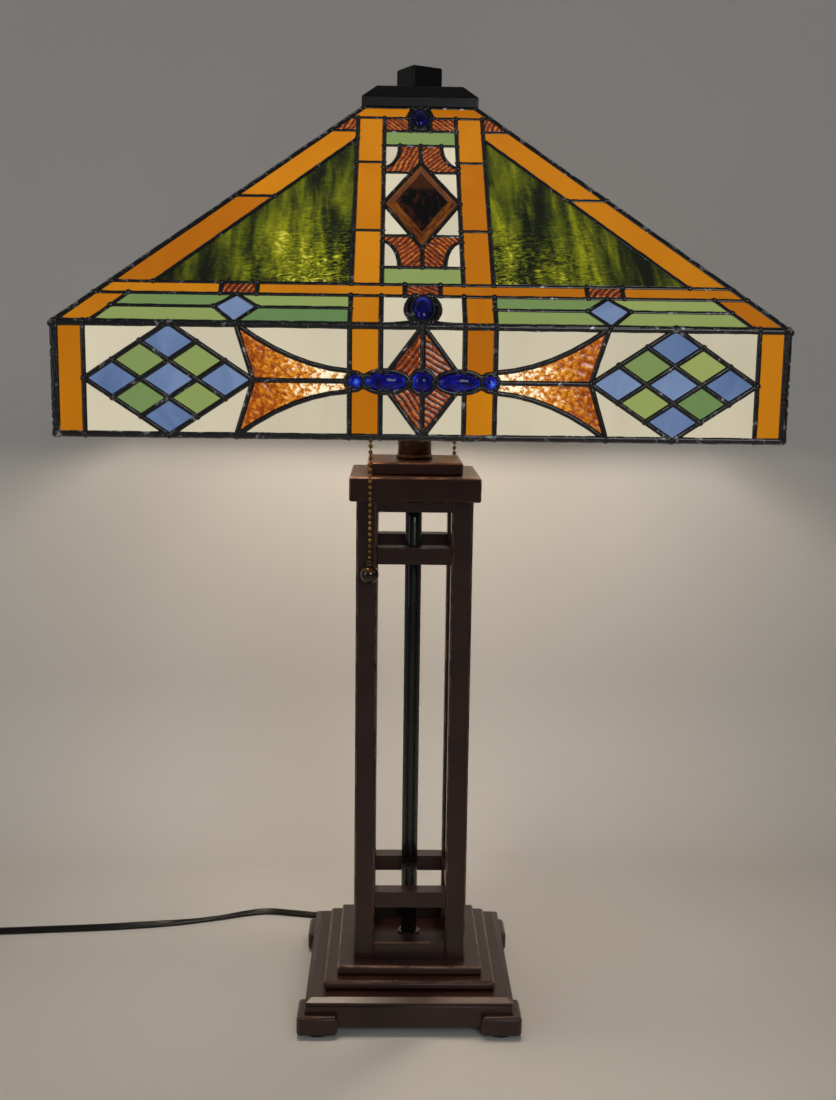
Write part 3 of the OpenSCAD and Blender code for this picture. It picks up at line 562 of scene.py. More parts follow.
def cut_glass(kind, outlines):
    """All pieces of one kind of glass as one mesh."""
    grid, relief, grain_turn = CUTS[kind]
    draw = random.Random("sheet " + kind)
    points, faces, sheet, tone, height, across = [], [], [], [], [], []
    for side, outline in outlines:
        bm = cut_face(outline, side, grid)
        turn = draw.choice(RIPPLE_TURNS) if kind == "mahogany" else draw.uniform(-grain_turn, grain_turn)
        shift = Vector((draw.uniform(-SHEET_REACH, SHEET_REACH),
                        draw.uniform(-SHEET_REACH, SHEET_REACH), 0))
        light = draw.random()
        rim = {v for v in bm.verts if v.is_boundary}
        start = len(points)
        top, back = [], []
        for v in bm.verts:
            flat = Vector((v.co.dot(side.across), v.co.dot(side.up), 0)) / MM
            place = Matrix.Rotation(turn, 3, "Z") @ flat + shift
            h = ripple_height(kind, place) if grid else 0.0
            sheet.append(place * MM)
            height.append(h)
            tone.append(light)
            across.append(flat.x * MM)
            lift = 0 if v in rim else max(min(h, 1), -1) * relief
            top.append(v.co + side.normal * lift * MM)
            back.append(v.co - side.normal * (GLASS_THICK - lift * 0.5) * MM)
        count = len(top)
        bm.verts.index_update()
        for f in bm.faces:
            loop = [v.index + start for v in f.verts]
            if f.normal.dot(side.normal) < 0:
                loop.reverse()
            faces.append(loop)
            faces.append([i + count for i in reversed(loop)])
        for e in bm.edges:
            if e.is_boundary:
                a, b = (v.index + start for v in e.verts)
                faces.append([b, a, a + count, b + count])
        points += top + back
        for values in (sheet, tone, height, across):
            values += values[-count:]
        bm.free()
    mesh = bpy.data.meshes.new(kind + "_panes")
    mesh.from_pydata(points, [], faces)
    for name, kind_of, field, values in (("sheet", "FLOAT_VECTOR", "vector", [c for s in sheet for c in s]),
                                         ("tone", "FLOAT", "value", tone), ("relief", "FLOAT", "value", height),
                                         ("across", "FLOAT", "value", across)):
        mesh.attributes.new(name, kind_of, "POINT").data.foreach_set(field, values)
    face_outwards(mesh, bool(grid))
    return mesh


outlines = {}
for kind, bm in glass_meshes.items():
    outlines[kind] = [(side, [v.co.copy() for v in face.verts]) for face in bm.faces
                      for side in roof_sides + skirt_sides if side.holds(face)]
    bm.free()
panes = {}
for kind in GLASS:
    panes[kind] = link_piece(kind + "_panes", cut_glass(kind, outlines[kind]))
    print(kind, len(outlines[kind]), "pieces,", len(panes[kind].data.polygons), "faces")

# %% [markdown]
# ## Finishes for lit glass
#
# Opalescent glass scatters the light of the bulbs behind it, so each piece shines with its own colour, a
# bit brighter where a bulb is near. The shared node groups work out two things: how near a point is to the
# two bulbs, and the cloudy streaks of the sheet between a pale and a deep colour. The glow then leaves
# through the shader's emission, under a glossy surface with a fine hand-rolled bump.

# %% Glow and streak groups
def new_group(name, inputs, outputs):
    tree = bpy.data.node_groups.new(name, "ShaderNodeTree")
    for label, kind, value in inputs:
        socket = tree.interface.new_socket(label, in_out="INPUT", socket_type="NodeSocket" + kind)
        socket.default_value = value
    for label, kind in outputs:
        tree.interface.new_socket(label, in_out="OUTPUT", socket_type="NodeSocket" + kind)
    return tree, tree.nodes.new("NodeGroupInput").outputs, tree.nodes.new("NodeGroupOutput")


def use_group(tree, group, inputs):
    node = tree.nodes.new("ShaderNodeGroup")
    node.node_tree = group
    feed(tree, node, inputs)
    return node.outputs


glow_group, given, out = new_group(
    "bulb_glow", [("Place", "Vector", (0, 0, 0)), ("Left Bulb", "Vector", tuple(bulb_middles[0])),
                  ("Right Bulb", "Vector", tuple(bulb_middles[1])), ("Reach", "Float", 0.09)],
    [("Glow", "Float")])
near = []
for bulb in ("Left Bulb", "Right Bulb"):
    gap = add(glow_group, "ShaderNodeVectorMath", {0: given["Place"], 1: given[bulb]}, operation="DISTANCE")
    share = maths(glow_group, "DIVIDE", gap.outputs["Value"], given["Reach"])
    near.append(maths(glow_group, "DIVIDE", 1.0,
                      maths(glow_group, "ADD", 1.0, maths(glow_group, "MULTIPLY", share, share))))
glow_group.links.new(maths(glow_group, "ADD", near[0], near[1], clamp=True), out.inputs["Glow"])

streak_group, given, out = new_group(
    "sheet_streaks", [("Sheet", "Vector", (0, 0, 0)), ("Tone", "Float", 0.5), ("Pale", "Color", (1, 1, 1, 1)),
                      ("Deep", "Color", (0, 0, 0, 1)), ("Scale", "Float", 30.0), ("Stretch", "Float", 0.3),
                      ("Tone Share", "Float", 0.5), ("Glow", "Float", 0.5), ("Dimmest", "Float", 0.8),
                      ("Brightest", "Float", 1.1)],
    [("Colour", "Color"), ("Height", "Float")])
tree = streak_group
squeeze = add(tree, "ShaderNodeCombineXYZ", {"X": 1.0, "Y": given["Stretch"], "Z": 1.0})
drawn = vectors(tree, "MULTIPLY", given["Sheet"], squeeze.outputs[0])
cloud = noise_node(tree, drawn, given["Scale"], 4.0, 0.8)
wisps = spread(tree, cloud.outputs["Fac"], 0.3, 0.7)
tone_pull = maths(tree, "MULTIPLY", maths(tree, "SUBTRACT", given["Tone"], wisps), given["Tone Share"])
tinted = mix_colour(tree, maths(tree, "ADD", wisps, tone_pull, clamp=True), given["Deep"], given["Pale"])
level = spread(tree, given["Glow"], 0.15, 0.85, given["Dimmest"], given["Brightest"])
tree.links.new(scaled(tree, tinted, level), out.inputs["Colour"])
fine = noise_node(tree, given["Sheet"], 260.0)
tree.links.new(fine.outputs["Fac"], out.inputs["Height"])
print("groups:", [g.name for g in bpy.data.node_groups])


# %% Opal glass
def attribute(tree, name):
    return add(tree, "ShaderNodeAttribute", attribute_name=name).outputs


def glow_at(tree):
    return use_group(tree, glow_group, {"Place": object_place(tree)})["Glow"]


def shine(tree, shader, colour, body=0.4, lit=1.0):
    """Lets colour out as light, and darkens it for the surface itself."""
    tree.links.new(colour, shader.inputs["Emission Color"])
    shader.inputs["Emission Strength"].default_value = lit
    tree.links.new(scaled(tree, colour, body), shader.inputs["Base Color"])


def opal_glass(name, pale, deep, scale=30.0, stretch=0.3, tone_share=0.5, dim=0.8, bright=1.1, wave=0.15):
    material, tree, shader = new_finish(name, roughness=0.16, ior=1.5)
    streaks = use_group(tree, streak_group, {
        "Sheet": attribute(tree, "sheet")["Vector"], "Tone": attribute(tree, "tone")["Fac"], "Pale": pale,
        "Deep": deep, "Scale": scale, "Stretch": stretch, "Tone Share": tone_share, "Glow": glow_at(tree),
        "Dimmest": dim, "Brightest": bright})
    shine(tree, shader, streaks["Colour"], 0.14, 0.9)
    bump(tree, shader, streaks["Height"], wave * MM)
    return material


opal_finishes = {
    "orange": opal_glass("orange_opal", paint(218, 138, 12), paint(176, 94, 0), 26, 0.35, 0.7, 0.8, 1.12),
    "white": opal_glass("cream_opal", paint(230, 219, 190), paint(203, 194, 168), 22, 0.5, 0.6, 0.85, 1.12),
    "green": opal_glass("green_opal", paint(164, 176, 98), paint(98, 134, 82), 16, 0.6, 0.9, 0.85, 1.1),
    "blue": opal_glass("blue_opal", paint(134, 156, 192), paint(88, 112, 156), 60, 0.4, 0.6, 0.85, 1.12),
}


# %% Ripple, granite and streaky glass
# Fish-tail glass is hottest within the first of these distances from the middle of its side, in metres
HOT_WITHIN, COOL_BEYOND = 0.052, 0.088
CRACK_SCALE, CRACK_BEND = 150.0, 0.006


def relief_glass(name, stops, reach, glow_share, grain_scale, middle_share=0.0):
    """Pressed glass: its ridges gather the light, so colour follows the relief and the glow. A middle share
    makes it glow towards the middle of its side, where fine cracks cross the bright part."""
    material, tree, shader = new_finish(name, roughness=0.07, ior=1.52, coat_weight=0.6)
    sheet_at = attribute(tree, "sheet")["Vector"]
    grain = noise_node(tree, sheet_at, grain_scale, 3.0, 1.2)
    ridge = spread(tree, attribute(tree, "relief")["Fac"], -reach, reach)
    light = maths(tree, "MULTIPLY", glow_at(tree), glow_share)
    level = maths(tree, "ADD", maths(tree, "ADD", maths(tree, "MULTIPLY", ridge, 0.55), light),
                  maths(tree, "MULTIPLY", spread(tree, grain.outputs["Fac"], 0.35, 0.65), 0.28))
    if middle_share:
        off_middle = maths(tree, "ABSOLUTE", attribute(tree, "across")["Fac"])
        hot = spread(tree, off_middle, HOT_WITHIN, COOL_BEYOND, 1.0, 0.0)
        bent = vectors(tree, "ADD", sheet_at, scaled(tree, grain.outputs["Color"], CRACK_BEND))
        cracks = add(tree, "ShaderNodeTexVoronoi", {"Vector": bent, "Scale": CRACK_SCALE},
                     feature="DISTANCE_TO_EDGE").outputs["Distance"]
        cut = maths(tree, "MULTIPLY", spread(tree, cracks, 0.015, 0.09, -0.5, 0.0),
                    spread(tree, hot, 0.0, 1.0, 0.25, 1.0))
        level = maths(tree, "ADD", maths(tree, "ADD", level, maths(tree, "MULTIPLY", hot, middle_share)), cut)
    shine(tree, shader, ramp_colour(tree, level, stops), 0.3, 0.9)
    bump(tree, shader, grain.outputs["Fac"], 0.35 * MM)
    return material


mahogany_finish = relief_glass("mahogany_ripple", [(0.15, paint(34, 10, 4)), (0.5, paint(88, 32, 8)),
                                                   (0.78, paint(150, 66, 14)), (1.0, paint(214, 128, 44))],
                               0.7, 0.5, 420)
amber_finish = relief_glass("amber_granite", [(0.12, paint(112, 46, 4)), (0.45, paint(160, 76, 5)),
                                              (0.82, paint(226, 146, 30)), (1.0, paint(255, 244, 206))],
                            0.8, 0.2, 300, 0.62)

streaky_finish, tree, shader = new_finish("streaky_water_glass", roughness=0.09, ior=1.52)
sheet_at = attribute(tree, "sheet")["Vector"]
place_at = add(tree, "ShaderNodeSeparateXYZ", {0: object_place(tree)}).outputs
panel_low, panel_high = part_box("streaky_glass")
height_up = spread(tree, place_at["Z"], panel_low.z, panel_high.z)
drawn = vectors(tree, "MULTIPLY", sheet_at, (1.0, 0.16, 1.0))
broad = noise_node(tree, drawn, 44.0, 5.0, 0.7)
thin = noise_node(tree, drawn, 170.0, 3.0, 0.5)
rolled = vectors(tree, "MULTIPLY", sheet_at, (0.5, 1.0, 1.0))
fleck = noise_node(tree, rolled, 260.0, 2.0, 2.4)


def swing(noisy, share):
    """A noise, centred on nought and scaled."""
    return maths(tree, "MULTIPLY", maths(tree, "SUBTRACT", noisy.outputs["Fac"], 0.5), share)


# The light falls off from the panel's inner foot outwards, between these distances in metres, and upwards
OUTWARD_FALL = (0.045, 0.115)
UPWARD_FALL = (0.0, 0.55)
off_middle = maths(tree, "ABSOLUTE", attribute(tree, "across")["Fac"])
far_out = spread(tree, off_middle, *OUTWARD_FALL)
lit_low = maths(tree, "MULTIPLY", spread(tree, height_up, *UPWARD_FALL, 1.0, 0.0),
                maths(tree, "SUBTRACT", 1.0, far_out))
level = maths(tree, "ADD", swing(broad, 1.9), swing(thin, 0.9))
fleck_share = spread(tree, lit_low, 0.0, 0.8, 0.12, 1.0)
for more in (maths(tree, "MULTIPLY", swing(fleck, 2.6), fleck_share),
             maths(tree, "MULTIPLY", glow_at(tree), 0.18), spread(tree, lit_low, 0.0, 1.0, 0.15, 0.38)):
    level = maths(tree, "ADD", level, more)
STREAK_STOPS = ((0.0, paint(14, 20, 4)), (0.2, paint(42, 48, 6)), (0.45, paint(88, 94, 10)),
                (0.75, paint(140, 142, 16)), (1.0, paint(238, 226, 84)))
shine(tree, shader, ramp_colour(tree, level, STREAK_STOPS), 0.25, 0.85)
bump(tree, shader, thin.outputs["Fac"], 0.4 * MM)

finishes = dict(opal_finishes, mahogany=mahogany_finish, amber=amber_finish, streaky=streaky_finish)
for kind, piece in panes.items():
    piece.data.materials.append(finishes[kind])
    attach(piece, "shade")
    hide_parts(kind + "_glass")

# %% [markdown]
# ## Solder lines
#
# Each piece of glass is edged with copper foil, and molten solder joins the foils in a raised, slightly
# lumpy bead that is then blackened with patina. The lines are the edges of the glass, moved out by half a
# lead. They are drawn once for the front, where edges of neighbours that lie on the same line become one. A
# Geometry Nodes tree follows the lines with a soft oval section, swells and thins it with noise, and drops
# a bigger blob where lines meet. Its seed differs on each side, so no two sides are soldered alike.

# %% Find the lines
HALF_LEAD = 1.5
JOIN_GAP = 0.4


def outset(points, distance):
    """A closed outline, anticlockwise, moved outwards with sharp mitres."""
    out = []
    count = len(points)
    for i in range(count):
        a, b, c = points[i - 1], points[i], points[(i + 1) % count]
        m, n = (b - a).normalized(), (c - b).normalized()
        m, n = Vector((m.y, -m.x)), Vector((n.y, -n.x))
        out.append(b + (m + n) * (distance / max(1 + m.dot(n), 0.12)))
    return out


def flat_outline(side, points):
    return [Vector((p.dot(side.across), p.dot(side.up))) / MM for p in points]


def signed_area(points):
    return sum(a.x * b.y - a.y * b.x for a, b in zip(points, points[1:] + points[:1])) / 2


def joined_lines(segments):
    """Segments on one straight line that touch or overlap become one."""
    lines = []
    for a, b in segments:
        if (b - a).length < 0.05:
            continue
        along = (b - a).normalized()
        if along.x < -1e-4 or (abs(along.x) <= 1e-4 and along.y < 0):
            along = -along
        offset = a.x * along.y - a.y * along.x
        low, high = sorted((a.dot(along), b.dot(along)))
        for line in lines:
            if line["along"].dot(along) > 0.99998 and abs(line["offset"] - offset) < 0.2:
                line["spans"].append((low, high))
                break
        else:
            lines.append({"along": along, "offset": offset, "spans": [(low, high)]})
    out = []
    for line in lines:
        spans = sorted(line["spans"])
        merged = [list(spans[0])]
        for low, high in spans[1:]:
            if low <= merged[-1][1] + JOIN_GAP:
                merged[-1][1] = max(merged[-1][1], high)
            else:
                merged.append([low, high])
        base = Vector((line["along"].y, -line["along"].x)) * line["offset"]
        out += [(base + line["along"] * low, base + line["along"] * high) for low, high in merged]
    return out


def inside_room(p, rooms):
    return any(((p.x - x) / w) ** 2 + ((p.y - y) / h) ** 2 < 1 for x, y, w, h in rooms)


# Jewels of the front: their middles and half sizes on the side, read from the frame
jewel_mesh = merged_copy("cobalt_jewels")


def loose_parts(bm):
    seen, parts = set(), []
    for v in bm.verts:
        if v in seen:
            continue
        stack, part = [v], []
        seen.add(v)
        while stack:
            u = stack.pop()
            part.append(u.co.copy())
            for e in u.link_edges:
                w = e.other_vert(u)
                if w not in seen:
                    seen.add(w)
                    stack.append(w)
        parts.append(part)
    return parts


jewels = []
for part in loose_parts(jewel_mesh):
    middle = sum(part, Vector()) / len(part)
    side = max(roof_sides + skirt_sides, key=lambda s: -abs(middle.dot(s.normal) - s.reach)
               - (1 if middle.dot(Vector((s.normal.x, s.normal.y, 0))) < 0 else 0))
    spans = [[p.dot(axis) / MM for p in part] for axis in (side.across, side.up, side.normal)]
    centre = [(min(s) + max(s)) / 2 for s in spans]
    half = [(max(s) - min(s)) / 2 for s in spans]
    jewels.append((side, centre, half))
jewel_mesh.free()
print(len(jewels), "jewels; half sizes", sorted({tuple(round(h, 1) for h in half) for _, _, half in jewels}))

RING_OUT = 0.9
RING_STEPS = 28
# A short run of solder closes the gap at each end of an upright oval
FILL_OUT, FILL_HALF = 2.3, 3.2


def side_lines(side):
    """The solder lines of one side in mm across and up it, as (points, edges, which points are knots)."""
    segments = []
    rooms = [(c[0], c[1], h[0] + RING_OUT, h[1] + RING_OUT) for s, c, h in jewels if s is side]
    for kind in GLASS:
        for other, points in outlines[kind]:
            if other is not side:
                continue
            outline = flat_outline(side, points)
            if signed_area(outline) < 0:
                outline.reverse()
            moved = outset(outline, HALF_LEAD)
            for a, b in zip(moved, moved[1:] + moved[:1]):
                if not inside_room((a + b) / 2, rooms):
                    segments.append((a, b))
    for s, c, h in jewels:
        if s is side and h[1] > h[0]:
            for end in (-1, 1):
                level = c[1] + end * (h[1] + FILL_OUT)
                segments.append((Vector((c[0] - FILL_HALF, level)), Vector((c[0] + FILL_HALF, level))))
    points, edges = [], []

    def index_of(p):
        for i, q in enumerate(points):
            if (p - q).length < 0.3:
                return i
        points.append(p)
        return len(points) - 1

    for a, b in joined_lines(segments):
        i, j = index_of(a), index_of(b)
        if i != j:
            edges.append((i, j))
    links = {i: [] for i in range(len(points))}
    for i, j in edges:
        links[i].append(j)
        links[j].append(i)
    knots = []
    for i, p in enumerate(points):
        if len(links[i]) == 2:
            a, b = ((points[k] - p).normalized() for k in links[i])
            knots.append(a.dot(b) > -0.8)
        else:
            knots.append(True)
    for x, y, w, h in rooms:
        start = len(points)
        points += [Vector((x + w * math.cos(2 * math.pi * k / RING_STEPS),
                           y + h * math.sin(2 * math.pi * k / RING_STEPS))) for k in range(RING_STEPS)]
        edges += [(start + k, start + (k + 1) % RING_STEPS) for k in range(RING_STEPS)]
        knots += [False] * RING_STEPS
    return points, edges, knots


# %% Bead tree
def new_growth(name, inputs):
    """A Geometry Nodes tree with named inputs: (tree, inputs by name, identifiers by name)."""
    tree = bpy.data.node_groups.new(name, "GeometryNodeTree")
    tree.interface.new_socket("Geometry", in_out="INPUT", socket_type="NodeSocketGeometry")
    sockets = {}
    for label, kind, value in inputs + (("Finish", "Material", None),):
        socket = tree.interface.new_socket(label, in_out="INPUT", socket_type="NodeSocket" + kind)
        if value is not None:
            socket.default_value = value
        sockets[label] = socket.identifier
    tree.interface.new_socket("Geometry", in_out="OUTPUT", socket_type="NodeSocketGeometry")
    return tree, tree.nodes.new("NodeGroupInput").outputs, sockets


def close_growth(tree, given, parts):
    """Joins the parts, shades them smooth, and makes them real in the finish that the tree is given."""
    both = add(tree, "GeometryNodeJoinGeometry")
    for part in parts:
        tree.links.new(part, both.inputs[0])
    smooth = add(tree, "GeometryNodeSetShadeSmooth", {"Geometry": both.outputs[0]}).outputs[0]
    real = add(tree, "GeometryNodeRealizeInstances", {"Geometry": smooth}).outputs[0]
    done = add(tree, "GeometryNodeSetMaterial", {"Geometry": real, "Material": given["Finish"]}).outputs[0]
    tree.links.new(done, tree.nodes.new("NodeGroupOutput").inputs[0])


def bead_tree():
    tree, given, sockets = new_growth("solder_bead", (
        ("Width", "Float", 3.5), ("Height", "Float", 4.3), ("Spacing", "Float", 2.0), ("Sides", "Int", 8),
        ("Lumps", "Float", 0.12), ("Lump Length", "Float", 7.0), ("Wander", "Float", 0.25),
        ("Knot Size", "Float", 1.3), ("Seed", "Float", 0.0)))
    place = add(tree, "GeometryNodeInputPosition").outputs[0]
    lump_scale = maths(tree, "DIVIDE", 1.0, given["Lump Length"])
    lump = add(tree, "ShaderNodeTexNoise", {"Vector": place, "W": given["Seed"], "Scale": lump_scale,
                                            "Detail": 2.0}, noise_dimensions="4D")
    swell = maths(tree, "MULTIPLY", maths(tree, "SUBTRACT", lump.outputs["Fac"], 0.5), 4.0)
    radius = maths(tree, "ADD", 1.0, maths(tree, "MULTIPLY", swell, given["Lumps"]))
    off = vectors(tree, "SUBTRACT", lump.outputs["Color"], (0.5, 0.5, 0.5))
    off = scaled(tree, off, given["Wander"])
    lines = add(tree, "GeometryNodeMeshToCurve", {"Mesh": given["Geometry"]}).outputs[0]
    lines = add(tree, "GeometryNodeResampleCurve", {"Curve": lines, "Length": given["Spacing"]},
                mode="LENGTH").outputs[0]
    lines = add(tree, "GeometryNodeSetPosition", {"Geometry": lines, "Offset": off}).outputs[0]
    lines = add(tree, "GeometryNodeSetCurveNormal", {"Curve": lines}, mode="Z_UP").outputs[0]
    ring = add(tree, "GeometryNodeCurvePrimitiveCircle", {"Resolution": given["Sides"], "Radius": 0.5})
    size = add(tree, "ShaderNodeCombineXYZ", {"X": given["Width"], "Y": given["Height"], "Z": 1.0}).outputs[0]
    ring = add(tree, "GeometryNodeTransform", {"Geometry": ring.outputs["Curve"], "Scale": size}).outputs[0]
    bead = add(tree, "GeometryNodeCurveToMesh", {"Curve": lines, "Profile Curve": ring, "Scale": radius,
                                                 "Fill Caps": True}).outputs[0]
    knot = add(tree, "GeometryNodeInputNamedAttribute", {"Name": "knot"}, data_type="BOOLEAN").outputs[0]
    blob = add(tree, "GeometryNodeMeshUVSphere", {"Segments": 10, "Rings": 6, "Radius": 0.5}).outputs[0]
    blob_size = add(tree, "ShaderNodeCombineXYZ", {
        "X": given["Width"], "Y": given["Width"],
        "Z": maths(tree, "MULTIPLY", given["Height"], 1.02)}).outputs[0]
    blob_size = scaled(tree, blob_size, maths(tree, "MULTIPLY", radius, given["Knot Size"]))
    blobs = add(tree, "GeometryNodeInstanceOnPoints", {"Points": given["Geometry"], "Selection": knot,
                                                       "Instance": blob, "Scale": blob_size}).outputs[0]
    close_growth(tree, given, (blobs, bead))
    return tree, sockets


solder_tree, solder_sockets = bead_tree()


def grown(name, mesh, tree, sockets, settings):
    """A plain mesh of what a Geometry Nodes tree makes of a guide mesh."""
    guide = link_piece(name + "_guide", mesh)
    modifier = guide.modifiers.new("grow", "NODES")
    modifier.node_group = tree
    for label, value in settings.items():
        modifier[sockets[label]] = value
    ready = guide.evaluated_get(bpy.context.evaluated_depsgraph_get())
    made = bpy.data.meshes.new_from_object(ready)
    bpy.data.objects.remove(guide)
    return made


def guide_mesh(name, points, edges, knots):
    mesh = bpy.data.meshes.new(name)
    mesh.from_pydata(points, edges, [])
    mesh.attributes.new("knot", "BOOLEAN", "POINT").data.foreach_set("value", knots)
    return mesh


def joined(name, parts):
    """One piece of several (mesh, matrix) pairs."""
    bm = bmesh.new()
    for mesh, place in parts:
        mesh.transform(place)
        bm.from_mesh(mesh)
    mesh = bpy.data.meshes.new(name)
    bm.to_mesh(mesh)
    bm.free()
    for material in parts[0][0].materials:
        mesh.materials.append(material)
    return link_piece(name, mesh)


# %% Patina over solder
def patina(name, shine_low, shine_high, top_highlight):
    """Black patina with silvery rubbed spots, more of them as the shine band is lower.
    A painted highlight makes a bead silvery where it faces up.
    """
    material, tree, shader = new_finish(name, coat_weight=0.5, coat_roughness=0.12)
    where = object_place(tree)
    worn = noise_node(tree, where, 460.0, 4.0, roughness=0.65)
    patch = noise_node(tree, where, 150.0, 3.0)
    up = add(tree, "ShaderNodeSeparateXYZ",
             {0: add(tree, "ShaderNodeNewGeometry").outputs["Normal"]}).outputs["Z"]
    rub_and_highlight = maths(tree, "ADD", maths(tree, "MULTIPLY", worn.outputs["Fac"], 0.45),
                maths(tree, "MULTIPLY", patch.outputs["Fac"], 0.55))
    # Painted highlight: the upward-facing tops of the beads are made silvery
    rub_and_highlight = maths(tree, "ADD", rub_and_highlight, spread(tree, up, 0.35, 0.95, 0.0, top_highlight))
    bright = spread(tree, rub_and_highlight, shine_low, shine_high)
    tree.links.new(mix_colour(tree, bright, paint(15, 13, 14), paint(188, 188, 190)),
                   shader.inputs["Base Color"])
    tree.links.new(spread(tree, bright, 0, 1, 0.15, 0.8), shader.inputs["Metallic"])
    tree.links.new(spread(tree, worn.outputs["Fac"], 0.3, 0.7, 0.4, 0.22), shader.inputs["Roughness"])
    bump(tree, shader, worn.outputs["Fac"], 0.5 * MM, 0.7)
    return material


line_patina = patina("black_patina", 0.58, 0.66, 0.0)
edge_patina = patina("rubbed_patina", 0.59, 0.67, 0.12)

# %% Solder the sides
BEAD_SINK = 1.3
for label, sides, node in (("roof", roof_sides, "roof_leading"), ("skirt", skirt_sides, "skirt_leading")):
    points, edges, knots = side_lines(sides[0])
    parts = []
    for quarter, side in enumerate(sides):
        mesh = grown(f"{label}_lines", guide_mesh("lines", [(p.x, p.y, 0) for p in points], edges, knots),
                     solder_tree, solder_sockets,
                     {"Seed": 3.7 * quarter + (11 if label == "skirt" else 0), "Finish": line_patina})
        parts.append((mesh, side.place @ Matrix.Translation((0, 0, -BEAD_SINK * MM))
                      @ Matrix.Diagonal((MM, MM, MM, 1))))
    piece = joined(label + "_solder", parts)
    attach(piece, "shade")
    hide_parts(node)
    print(label, len(edges), "lines a side,", len(piece.data.polygons), "faces")

# %% Heavy beads on the fold, the rim, the corners and the hips
edge_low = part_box("edge_solder")[0]
FOLD_R, RIM_R, HIP_R, CORNER_R = 2.0, 1.75, 2.1, 2.3
PROUD = 0.8
FOLD_SINK = 0.5
PLANE = (skirt_reach / MM) + SET_BACK
rim_z = edge_low.z / MM
fold_z = ((roof_reach / MM) + SET_BACK + PLANE * roof_normal.y) / roof_normal.z
roof_rise = -roof_normal.y / roof_normal.z
cap_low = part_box("vase_cap")[0]
HIP_SINK = Vector((0.48, 0.48, -1.1))


def corner_at(half, z, quarter):
    return Matrix.Rotation(quarter * math.pi / 2, 3, "Z") @ Vector((-half, -half, z))


heavy = []
for radius, z in ((FOLD_R, fold_z - FOLD_SINK), (RIM_R, rim_z + RIM_R)):
    square = [corner_at(PLANE + PROUD - radius, z, q) for q in range(4)]
    heavy.append((radius, square, [(k, (k + 1) % 4) for k in range(4)]))
posts, hips = [], []
top_half = -cap_low.x / MM + 0.5
for q in range(4):
    posts += [corner_at(PLANE + PROUD - CORNER_R, z, q) for z in (rim_z + RIM_R, fold_z - FOLD_SINK)]
    turn = Matrix.Rotation(q * math.pi / 2, 3, "Z")
    hips += [turn @ (Vector((-PLANE, -PLANE, fold_z)) + HIP_SINK),
             turn @ (Vector((-top_half, -top_half, fold_z + (PLANE - top_half) * roof_rise)) + HIP_SINK)]
pairs = [(0, 1), (2, 3), (4, 5), (6, 7)]
heavy += [(CORNER_R, posts, pairs), (HIP_R, hips, pairs)]
parts = []
for index, (radius, points, edges) in enumerate(heavy):
    mesh = grown("edge_lines", guide_mesh("lines", points, edges, [True] * len(points)), solder_tree,
                 solder_sockets, {"Width": 2 * radius, "Height": 2 * radius, "Sides": 14, "Lumps": 0.07,
                                  "Lump Length": 13.0, "Wander": 0.7, "Knot Size": 1.05, "Seed": 40.0 + index,
                                  "Finish": edge_patina})
    parts.append((mesh, Matrix.Diagonal((MM, MM, MM, 1))))
edge_beads = joined("edge_beads", parts)
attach(edge_beads, "shade")
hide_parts("edge_solder")
print("fold at", round(fold_z, 1), "mm;", len(edge_beads.data.polygons), "faces of heavy bead")


# %% [markdown]
# ## Jewels
#
# The cobalt jewels are pressed glass: round domes, a pointed oval and long spindles, half sunk in the
# solder. Each is an ellipsoid, or for a spindle a form whose ends run to a soft point. Dark glass only
# lights up where it is thin, so an attribute "thin" says how far a point is towards a thin end of a spindle.
# On the other jewels the same attribute carries painted highlights: a spot right of the middle on the
# small rounds, the top of the lower ovals and the left edge of the round middles.

# %% Cobalt jewels
JEWEL_STEPS, JEWEL_RINGS = 36, 20
SPINDLE_RATIO = 2.0


def jewel_rings(half):
    """Rings of points of a jewel about its middle, along its long direction, and how thin each ring is."""
    long_axis = 0 if half[0] > half[1] else 1
    reach, width = max(half[0], half[1]), min(half[0], half[1])
    spindle = reach > SPINDLE_RATIO * width
    rings = []
    for k in range(JEWEL_RINGS + 1):
        t = math.pi * k / JEWEL_RINGS
        radius = width * math.sin(t) ** (1.25 if spindle else 1.0)
        ring = []
        for j in range(JEWEL_STEPS):
            a = 2 * math.pi * j / JEWEL_STEPS
            point = [0, 0, radius * math.sin(a)]
            point[long_axis] = -reach * math.cos(t)
            point[1 - long_axis] = radius * math.cos(a)
            ring.append(Vector(point))
        rings.append(ring)
    return rings, spindle


jewel_points, jewel_faces, glow_shares = [], [], []
# The ovals low on the roof get a painted highlight at their top, brighter than those under the cap
ovals = [centre[1] * MM for _, centre, half in jewels if half[1] > 1.2 * half[0]]
lower_oval = sum(ovals) / len(ovals)
for side, centre, half in jewels:
    rings, spindle = jewel_rings(half)
    small = max(half) < 4.5
    start = len(jewel_points)
    for ring in rings:
        for p in ring:
            flat = Vector((centre[0], centre[1], centre[2] - side.reach / MM)) + p
            jewel_points.append(side.place @ (flat * MM))
            u, v = p.x / half[0], p.y / half[1]
            # Thin spindle ends glow brighter; the other shapes get painted highlight spots
            if spindle:
                thin = 0.16 + 0.5 * abs(u) ** 5
            elif small:
                thin = 0.2 + 0.6 * math.exp(-5 * ((u - 0.25) ** 2 + (v + 0.1) ** 2))
            elif half[1] > 1.2 * half[0]:
                thin = (0.75 if centre[1] * MM < lower_oval else 0.05) * max(v, 0)
            else:
                thin = 0.1 + 0.6 * max(-u, 0) ** 2
            glow_shares.append(thin)
    for k in range(JEWEL_RINGS):
        for j in range(JEWEL_STEPS):
            n = (j + 1) % JEWEL_STEPS
            low, high = start + k * JEWEL_STEPS, start + (k + 1) * JEWEL_STEPS
            jewel_faces.append((low + j, low + n, high + n, high + j))
